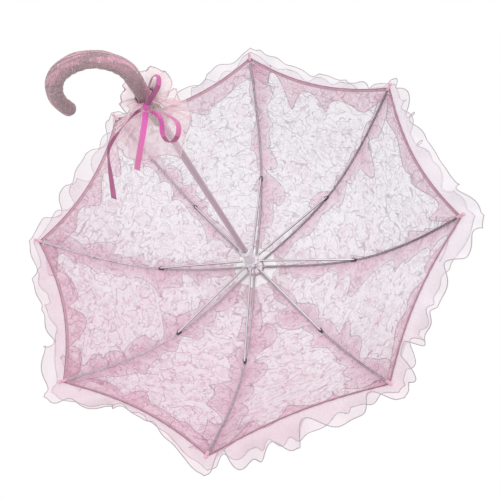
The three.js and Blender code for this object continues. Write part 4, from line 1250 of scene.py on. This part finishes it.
# ------------------------------------------------------------------ crook handle
lo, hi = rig.box("handle_crook")
CR, BEND, TURN_C, ZB, TOP = 8.2, 39.25, rad(201.2), -14.5, hi.z / MM
straight = TOP - ZB
arc = BEND * TURN_C
total = straight + arc


def crook_line(d):
    a = np.maximum(0, d - straight) / BEND
    x = np.where(d <= straight, 0, BEND * (1 - np.cos(a)))
    z = np.where(d <= straight, TOP - d, ZB - BEND * np.sin(a))
    return x, z, a


nd, nc = 260, 64
dd = np.concatenate([np.linspace(0.4, total, nd), total + (CR - 0.4) * 0.92 * np.sin(np.linspace(0.1, np.pi / 2 * 0.985, 16))])
capf = np.concatenate([np.ones(nd), np.cos(np.linspace(0.1, np.pi / 2 * 0.985, 16))])
x, z, a = crook_line(np.minimum(dd, total))
over = np.maximum(0, dd - total)
tx, tz = np.sin(a), -np.cos(a)
nx, nz = -np.cos(a), -np.sin(a)
phi = np.linspace(0, 2 * np.pi, nc, endpoint=False)
R = (CR + 0.1 + 0.35 * smooth(straight - 15, straight + 15, dd) - 0.9 * smooth(total - 45, total, dd)) * capf
D, PHI = np.meshgrid(dd, phi, indexing="ij")
lump = (
    0.30 * np.sin(D / 5.2 + 1.5 * np.sin(PHI + D / 23))
    + 0.22 * np.sin(D / 2.9 + 2.0 * np.sin(2 * PHI + D / 17))
    + 0.26 * np.sin(2 * PHI + D / 11.0)
    + 0.16 * np.sin(3 * PHI - D / 6.3)
)
# inner side of the bend: the cover bunches into small folds
inner_side = smooth(-0.2, 0.9, -np.cos(PHI)) * smooth(straight - 10, straight + 12, D)
lump += 0.42 * inner_side * np.sin(D / 1.55 + 1.2 * np.sin(3 * PHI))
seam_r = -0.35 * np.exp(-((((PHI - 4.4 + 0.1 * np.sin(D / 19)) / 0.06)) ** 2))
RR = R[:, None] + (lump * 0.55 + seam_r) * capf[:, None] ** 0.5
ix = x[:, None] + nx[:, None] * RR * np.cos(PHI) + tx[:, None] * over[:, None]
iz = z[:, None] + nz[:, None] * RR * np.cos(PHI) + tz[:, None] * over[:, None]
iy = RR * np.sin(PHI)
Ph = np.stack([ix, iy, iz], -1)
n_, m_ = Ph.shape[:2]
faces = grid_faces(n_, m_, False, True)
tipc = np.array([x[-1] + tx[-1] * (over[-1] + 0.05), 0, z[-1] + tz[-1] * (over[-1] + 0.05)])
verts = np.vstack([Ph.reshape(-1, 3), tipc[None]])
uvh = np.vstack([np.stack([PHI * 0.8, D / 10], -1).reshape(-1, 2), [[2.5, dd[-1] / 10]]])
ti = len(verts) - 1
for j in range(m_):
    faces.append(((n_ - 1) * m_ + j, ti, (n_ - 1) * m_ + (j + 1) % m_))
# top lip of the cover, turned in towards the shaft
lip = []
for i, (rad_, dz_) in enumerate(((7.4, 0.1), (6.2, 0.35), (5.0, 0.5), (4.5, 1.2))):
    lip.append(np.stack([-rad_ * np.cos(phi), rad_ * np.sin(phi), np.full(nc, TOP - dz_)], 1))
b0 = len(verts)
verts = np.vstack([verts] + lip)
uvh = np.vstack([uvh] + [np.stack([phi * 0.8, np.full(nc, -0.1 * (i + 1))], 1) for i in range(4)])
for j in range(m_):
    faces.append((j, (j + 1) % m_, b0 + (j + 1) % m_, b0 + j))
faces += [tuple(b0 + q for q in f) for f in grid_faces(4, nc, False, True)]
crook = new_object("crook_cover", verts, faces, uvh, [HANDLE])
bm = bmesh.new()
bm.from_mesh(crook.data)
bmesh.ops.recalc_face_normals(bm, faces=bm.faces)
bm.to_mesh(crook.data)
bm.free()
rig.replaces(crook, "handle_crook")
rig.ride(crook, "shaft")
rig.slot(crook, "handle_cover")


# ------------------------------------------------------------------ frill tiers
def frill(name, node, prof, pleats, lobes, amp_r, amp_z, skew, phase, seed, lobe=0.0, lobe_at=253.0):
    """Gathered organza flared from a tie. prof: [radius, z] from the tie to the rim."""
    prof = np.array(prof, float)
    nr_, na_ = 34, 560
    line = catmull(prof, nr_)
    aa = np.linspace(0, 2 * np.pi, na_, endpoint=False)
    r = np.random.RandomState(seed)
    x = np.linspace(0, 1, nr_)
    tang = np.gradient(line, axis=0)
    tang /= np.linalg.norm(tang, axis=1, keepdims=True)
    nrm_r, nrm_z = tang[:, 1], -tang[:, 0]

    def series(ms, sd):
        q = np.random.RandomState(sd)
        am = 0.5 + q.rand(len(ms))
        am /= np.sqrt((am**2).sum() / 2)
        ph = q.rand(len(ms)) * 2 * np.pi
        return sum(a_ * np.sin(m_ * aa + p_) for a_, m_, p_ in zip(am, ms, ph)) / 1.4

    big = series([lobes - 2, lobes, lobes + 1, lobes + 3], seed)
    big2 = series([lobes - 1, lobes + 2, lobes + 4], seed + 1)
    fine = series([pleats - 9, pleats - 4, pleats, pleats + 5, pleats + 11], seed + 2)
    low = series([1, 2, 3], seed + 3)
    P = np.zeros((na_, nr_, 3))
    turned_ = np.angle(np.exp(1j * (aa - rad(lobe_at))))
    tongue = np.exp(-((turned_ / rad(15)) ** 2)) * lobe
    for j in range(nr_):
        xx = x[j]
        rad_ = line[j, 0] * (1 + skew * xx * np.cos(aa - rad(9)) + 0.05 * xx * low) + tongue * 0.62 * smooth(0.45, 1.0, xx)
        zz = line[j, 1] + tongue * 0.78 * smooth(0.45, 1.0, xx)
        a_big = amp_r * xx**1.4
        a_fine = 0.75 * min(1, xx * 6) * (1 - 0.55 * xx) + 0.12
        disp = a_big * big + a_fine * fine
        rad_ = rad_ + nrm_r[j] * disp * 0.9 + 0.25 * a_fine * fine
        zz = zz + nrm_z[j] * disp + amp_z * xx**1.5 * big2
        rad_ = np.maximum(rad_, line[0, 0] - 0.1)
        ang = aa + (0.10 * xx * big2 + 0.012 * fine * (1 - xx))
        P[:, j] = np.stack([rad_ * np.cos(ang), rad_ * np.sin(ang), zz], 1)
    return P


lo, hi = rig.box("frill_lower")
TIE = lo.z / MM - 2.0
prof_lower = [[9.25, TIE + 1.6], [9.2, TIE + 5], [11.5, TIE + 12], [18, TIE + 22], [29, TIE + 33], [42.5, TIE + 43.5]]
Pl = frill("frill_lower_tier", "frill_lower", prof_lower, 58, 8, 4.2, 2.6, 0.23, 0.4, 41, lobe=14.0, lobe_at=254.0)
uvl = np.stack(np.broadcast_arrays(np.linspace(0, 45, Pl.shape[0])[:, None], np.linspace(0, 5.6, Pl.shape[1])[None, :]), -1)
low_t = grid_object("frill_lower_tier", Pl, uvl, [ORGANZA_FRILL], close_n=True)
prof_upper = [[9.25, TIE + 0.6], [10.2, TIE - 1.5], [16, TIE - 4.6], [23, TIE - 6.0], [28.5, TIE - 6.2]]
Pu = frill("frill_upper_tier", "frill_upper", prof_upper, 58, 7, 2.6, 1.6, -0.12, 2.0, 57)
# the upper tier parts in front, round the knot
ang_u = np.degrees(np.arctan2(Pu[:, :, 1], Pu[:, :, 0])) % 360
rr_u = np.hypot(Pu[:, :, 0], Pu[:, :, 1])
front = np.exp(-(((ang_u - 256) / 40) ** 2)) * smooth(10.5, 17, rr_u)
scale_u = 1 - 0.56 * front
Pu[:, :, 0] *= scale_u
Pu[:, :, 1] *= scale_u
Pu[:, :, 2] += 3.5 * front
uvu = np.stack(np.broadcast_arrays(np.linspace(0, 30, Pu.shape[0])[:, None], np.linspace(0, 2.6, Pu.shape[1])[None, :]), -1)
upp_t = grid_object("frill_upper_tier", Pu, uvu, [ORGANZA_FRILL], close_n=True)
for o, P_, node, fl in ((low_t, Pl, "frill_lower", (0.46, 0.056)), (upp_t, Pu, "frill_upper", (0.30, 0.026))):
    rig.replaces(o, node)
    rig.ride(o, "shaft")
    A = area_mm2(np.concatenate([P_, P_[:1]])) * 1e-6
    fl = (max(fl[0], A / fl[1]), fl[1])
    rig.sheet(o, flat=fl, held="gathered", rests_on=["handle_crook"], area=max(0.31, A / (fl[0] * fl[1])) * fl[0] * fl[1])
    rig.slot(o, "organza")
    line = np.concatenate([P_[:, -1], P_[:1, -1]])
    vv, ff = tube_parts(line, 0.6, 6)
    h = new_object(o.name + "_hem", vv, ff, None, [HEM_PALE])
    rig.ride(h, "shaft")
    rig.slot(h, "organza")


# ------------------------------------------------------------------ ribbons
def ribbon(name, pts, sides, width, node, thick=0.32, n=140, cut=0.0, shade_spans=()):
    C = catmull(pts, n)
    Sd = catmull(sides, n)
    t = np.gradient(C, axis=0)
    t /= np.linalg.norm(t, axis=1, keepdims=True)
    Sd = Sd - (Sd * t).sum(1, keepdims=True) * t
    Sd /= np.linalg.norm(Sd, axis=1, keepdims=True)
    nm = np.cross(t, Sd)
    wdt = np.full(n, width)
    ys = np.array([-0.5, -0.46, -0.25, 0.0, 0.25, 0.46, 0.5])
    cup = np.array([0.10, 0.05, -0.04, -0.08, -0.04, 0.05, 0.10]) * 1.6
    edge_t = np.array([0.4, 1.0, 0.8, 0.8, 0.8, 1.0, 0.4])
    top = C[:, None] + Sd[:, None] * (ys[None, :] * wdt[:, None])[..., None] + nm[:, None] * (cup + edge_t * thick / 2)[None, :, None]
    bot = C[:, None] + Sd[:, None] * (ys[None, :] * wdt[:, None])[..., None] + nm[:, None] * (cup - edge_t * thick / 2)[None, :, None]
    ring = np.concatenate([top, bot[:, ::-1]], 1)
    if cut:
        # slanted end
        sl = np.concatenate([ys, ys[::-1]])
        ring[-1] += t[-1] * (sl * cut)[:, None]
        ring[-2] += t[-1] * (sl * cut * 0.6)[:, None]
    m = ring.shape[1]
    faces = grid_faces(n, m, False, True)
    # the two ends are closed with quads between the faces
    for base_, flip in ((0, True), ((n - 1) * m, False)):
        for j in range(len(ys) - 1):
            q = (base_ + j, base_ + j + 1, base_ + m - 2 - j, base_ + m - 1 - j)
            faces.append(q[::-1] if flip else q)
    length = np.concatenate([[0], np.cumsum(np.linalg.norm(np.diff(C, axis=0), axis=1))])
    yy = np.concatenate([ys, ys[::-1]])
    uv = np.stack(np.broadcast_arrays((yy * width / 10)[None, :], (length / 10)[:, None]), -1)
    o = new_object(name, ring.reshape(-1, 3), faces, uv.reshape(-1, 2), [RIBBON, RIBBON_SHADE])
    # painted shade: the listed spans take the darker copy of the ribbon satin
    for lo_, hi_ in shade_spans:
        for q in range((n - 1) * m):
            if lo_ <= (q // m) / (n - 1) <= hi_:
                o.data.polygons[q].material_index = 1
    bm = bmesh.new()
    bm.from_mesh(o.data)
    bmesh.ops.recalc_face_normals(bm, faces=bm.faces)
    bm.to_mesh(o.data)
    bm.free()
    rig.replaces(o, node)
    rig.ride(o, "shaft")
    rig.slot(o, "ribbon")
    return o


FACE = [-0.9483, -0.1566, 0.2761]  # along the tie, across the front of the bow
VIEWDIR = np.array([0.1684742, 0.4889093, 0.85591129])
ACROSS = np.array([-0.94830411, -0.15653245, 0.2760741])
DOWN = np.array([0.26895308, -0.85817556, 0.43726302])


def mixv(a, b, c):
    """Direction from parts through, across and along the bow."""
    return (a * VIEWDIR + b * ACROSS - c * DOWN).tolist()


ribbon(
    "ribbon_tail_left",
    [[5.2, -16.8, 15.6], [13.2, -18.6, 16.3], [25.9, -26.0, 19.0], [40.7, -35.9, 23.3], [48.3, -43.1, 27.6], [51.3, -51.1, 32.8], [53.5, -67.6, 40.6], [56.3, -86.0, 50.4]],
    [mixv(0.55, 0.1, 0.8), mixv(0.6, 0.1, 0.8), mixv(0.65, 0.3, 0.65), mixv(0.75, 0.6, 0.3), mixv(0.93, 0.3, 0.0), mixv(0.97, 0.2, 0.0), mixv(0.8, 0.6, 0.0), mixv(0.65, 0.75, 0.0)],
    6.0,
    "bow_tail_left",
    cut=2.2,
    shade_spans=((0.05, 1.0),),
)
ribbon(
    "ribbon_tail_centre",
    [[1.5, -18.6, 18.6], [7.1, -32.9, 23.8], [14.8, -48.6, 30.4], [24.8, -68.3, 39.6]],
    [FACE, FACE, FACE, [-0.93, -0.2, 0.3]],
    6.0,
    "bow_tail_centre",
    cut=1.0,
)
TILT = (0.62 * VIEWDIR + 0.78 * ACROSS).tolist()
ribbon(
    "ribbon_loop_upper",
    [[-3.4, -16.4, 12.6], [-12.2, -13.4, 5.5], [-20.0, -7.4, 1.5], [-23.0, -2.5, -3.5], [-19.5, -3.5, -8.5], [-13.5, -11.0, -6.5], [-9.0, -15.5, 0.5], [-3.2, -17.4, 9.2]],
    [TILT, TILT, TILT, mixv(0.5, 0.6, 0.5), mixv(0.95, 0.1, 0.2), mixv(0.98, 0.12, 0.0), mixv(0.98, 0.12, 0.0), mixv(0.9, 0.4, 0.0)],
    6.0,
    "bow_loop_upper",
    shade_spans=((0.0, 0.30), (0.56, 1.0)),
)
ribbon(
    "ribbon_loop_lower",
    [[-3.6, -18.4, 20.4], [-9.0, -22.5, 26.5], [-9.6, -29.0, 30.6], [-8.0, -38.8, 33.9], [-11.6, -48.6, 36.4], [-18.6, -51.2, 35.3], [-25.6, -46.2, 31.0], [-27.0, -37.3, 26.4], [-19.2, -28.0, 21.6], [-5.2, -19.6, 16.4]],
    [TILT] * 10,
    6.0,
    "bow_loop_lower",
    shade_spans=((0.36, 0.62),),
)

# knot: a short wrap of ribbon with gathered folds
lo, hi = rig.box("bow_knot")
kc = np.array([(lo.x + hi.x) / 2, (lo.y + hi.y) / 2, (lo.z + hi.z) / 2]) / MM
kr = np.array([(hi.x - lo.x) / 2, (hi.y - lo.y) / 2, (hi.z - lo.z) / 2]) / MM
nt_, np_ = 48, 96
th = np.linspace(0.02, np.pi - 0.02, nt_)
ph = np.linspace(0, 2 * np.pi, np_, endpoint=False)
TH, PHK = np.meshgrid(th, ph, indexing="ij")
sup = np.sign(np.cos(TH)) * np.abs(np.cos(TH)) ** 0.72
sr = np.abs(np.sin(TH)) ** 0.62
fold = 1 + 0.06 * np.sin(6 * PHK + 2.2 * np.cos(TH)) * np.sin(TH) + 0.035 * np.sin(13 * PHK + 3 * np.cos(TH)) * np.sin(TH)
waist = 1 - 0.10 * np.cos(TH) ** 2
kx = kc[0] + kr[0] * 0.97 * sr * np.cos(PHK) * fold * waist
ky = kc[1] + kr[1] * 0.97 * sr * np.sin(PHK) * fold * waist
kz = kc[2] + kr[2] * 0.97 * sup
Pk = np.stack([kx, ky, kz], -1)
faces = grid_faces(nt_, np_, False, True)
vk = np.vstack([Pk.reshape(-1, 3), [[kc[0], kc[1], kc[2] + kr[2] * 0.97]], [[kc[0], kc[1], kc[2] - kr[2] * 0.97]]])
i1, i2 = len(vk) - 2, len(vk) - 1
for j in range(np_):
    faces.append((j, i1, (j + 1) % np_)[::-1])
    faces.append(((nt_ - 1) * np_ + j, (nt_ - 1) * np_ + (j + 1) % np_, i2)[::-1])
uvk = np.vstack([np.stack([PHK * 0.4, TH * 0.35], -1).reshape(-1, 2), [[0, 0]], [[0, 1]]])
knot = new_object("ribbon_knot", vk, faces, uvk, [RIBBON])
bm = bmesh.new()
bm.from_mesh(knot.data)
bmesh.ops.recalc_face_normals(bm, faces=bm.faces)
bm.to_mesh(knot.data)
bm.free()
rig.replaces(knot, "bow_knot")
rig.ride(knot, "shaft")
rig.slot(knot, "ribbon")
# the ribbon's turn round the handle, under the knot
nt_ = 120
aa = np.linspace(0, 2 * np.pi, nt_, endpoint=False)
prof = np.array([[10.0, -2.6], [10.45, -2.3], [10.6, -1.0], [10.55, 0.6], [10.6, 1.7], [10.3, 2.4], [9.8, 2.5], [9.75, 0.0]])
Pw = np.zeros((nt_, len(prof), 3))
for j, (r_, z_) in enumerate(prof):
    rrw = r_ + 0.12 * np.sin(9 * aa + j) + 0.08 * np.sin(17 * aa)
    Pw[:, j] = np.stack([rrw * np.cos(aa), rrw * np.sin(aa), TIE + 0.4 + z_ + 0.3 * np.sin(2 * aa)], 1)
uvw = np.stack(np.broadcast_arrays((aa * 1.0)[:, None] + 0 * prof[None, :, 0], (np.arange(len(prof)) * 0.1)[None, :] + 0 * aa[:, None]), -1)
wrap = grid_object("ribbon_wrap", Pw, uvw, [RIBBON], close_n=True, close_m=True)
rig.ride(wrap, "shaft")
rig.slot(wrap, "ribbon")

# ------------------------------------------------------------------ floor, light, camera
floor_z = CAD_BOX[0].z - 2.2
fm, fnt, fout = material("floor_pale")
g = NT(fnt)
fn = g.noise(g.obj(), 3.0, 3.0)
fc = g.mix(fn.outputs["Fac"], (0.86, 0.86, 0.87), (0.9, 0.9, 0.905))
fp = g.principled(Base_Color=fc, Roughness=0.8)
g.link(fp.outputs[0], fout.inputs["Surface"])
L = 30.0
fme = bpy.data.meshes.new("floor")
fme.from_pydata([(-L, -L, floor_z), (L, -L, floor_z), (L, L, floor_z), (-L, L, floor_z)], [], [(0, 1, 2, 3)])
floor = bpy.data.objects.new("floor", fme)
fme.materials.append(fm)
bpy.context.scene.collection.objects.link(floor)
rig.stage(floor)

world = bpy.data.worlds.new("studio")
bpy.context.scene.world = world
world.use_nodes = True
wn = world.node_tree
wn.nodes.clear()
wo = wn.nodes.new("ShaderNodeOutputWorld")
bg1 = wn.nodes.new("ShaderNodeBackground")
bg1.inputs["Color"].default_value = (1, 1, 1, 1)
bg1.inputs["Strength"].default_value = 1.0
bg2 = wn.nodes.new("ShaderNodeBackground")
bg2.inputs["Color"].default_value = (1, 1, 1, 1)
bg2.inputs["Strength"].default_value = 0.92
lp = wn.nodes.new("ShaderNodeLightPath")
mx = wn.nodes.new("ShaderNodeMixShader")
wn.links.new(lp.outputs["Is Camera Ray"], mx.inputs[0])
wn.links.new(bg2.outputs[0], mx.inputs[1])
wn.links.new(bg1.outputs[0], mx.inputs[2])
wn.links.new(mx.outputs[0], wo.inputs["Surface"])

CENTRE = Vector((0, 0, 0.33))


def area(name, loc, size, power, target=CENTRE):
    d = bpy.data.lights.new(name, "AREA")
    d.shape = "SQUARE"
    d.size = size
    d.energy = power
    o = bpy.data.objects.new(name, d)
    bpy.context.scene.collection.objects.link(o)
    o.location = loc
    o.rotation_mode = "QUATERNION"
    o.rotation_quaternion = (target - Vector(loc)).to_track_quat("-Z", "Y")
    return o


RIGHT = Vector((-0.94830411, -0.15653245, 0.2760741))
UP = Vector((-0.26895308, 0.85817556, -0.43726302))
FWD = Vector((0.1684742, 0.4889093, 0.85591129))
NOTCH_Z = ZN * MM
CAM = Vector((-0.180473, -0.502557, NOTCH_Z - 0.933602))
area("key", CAM + UP * 1.1 + RIGHT * 0.5 - FWD * 0.1, 1.2, 12.0)
area("fill", CAM - RIGHT * 1.2 - UP * 0.2, 1.4, 4.0)
area("top", Vector((0.6, -0.8, 1.9)), 1.5, 10.0)

cam_d = bpy.data.cameras.new("camera")
cam = bpy.data.objects.new("camera", cam_d)
bpy.context.scene.collection.objects.link(cam)
cam_d.sensor_width = 36.0
cam_d.sensor_fit = "HORIZONTAL"
cam_d.lens = 714.2244924 / 500 * 36.0
cam_d.clip_start = 0.01
cam_d.clip_end = 100.0
rot = Matrix((
    (RIGHT.x, UP.x, -FWD.x),
    (RIGHT.y, UP.y, -FWD.y),
    (RIGHT.z, UP.z, -FWD.z),
))
cam.matrix_world = Matrix.Translation(CAM) @ rot.to_4x4()
bpy.context.scene.camera = cam

sc = bpy.context.scene
sc.view_settings.view_transform = "Standard"
sc.view_settings.look = "None"
try:
    sc.cycles.transparent_max_bounces = 40
    sc.cycles.max_bounces = 10
    sc.cycles.diffuse_bounces = 4
except AttributeError:
    pass

# ------------------------------------------------------------------ boxes, then the last line
VIS_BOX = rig.bounds()
with open("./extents.json", "w") as f:
    json.dump({"cad": [list(v) for v in CAD_BOX], "visual": [list(v) for v in VIS_BOX]}, f)
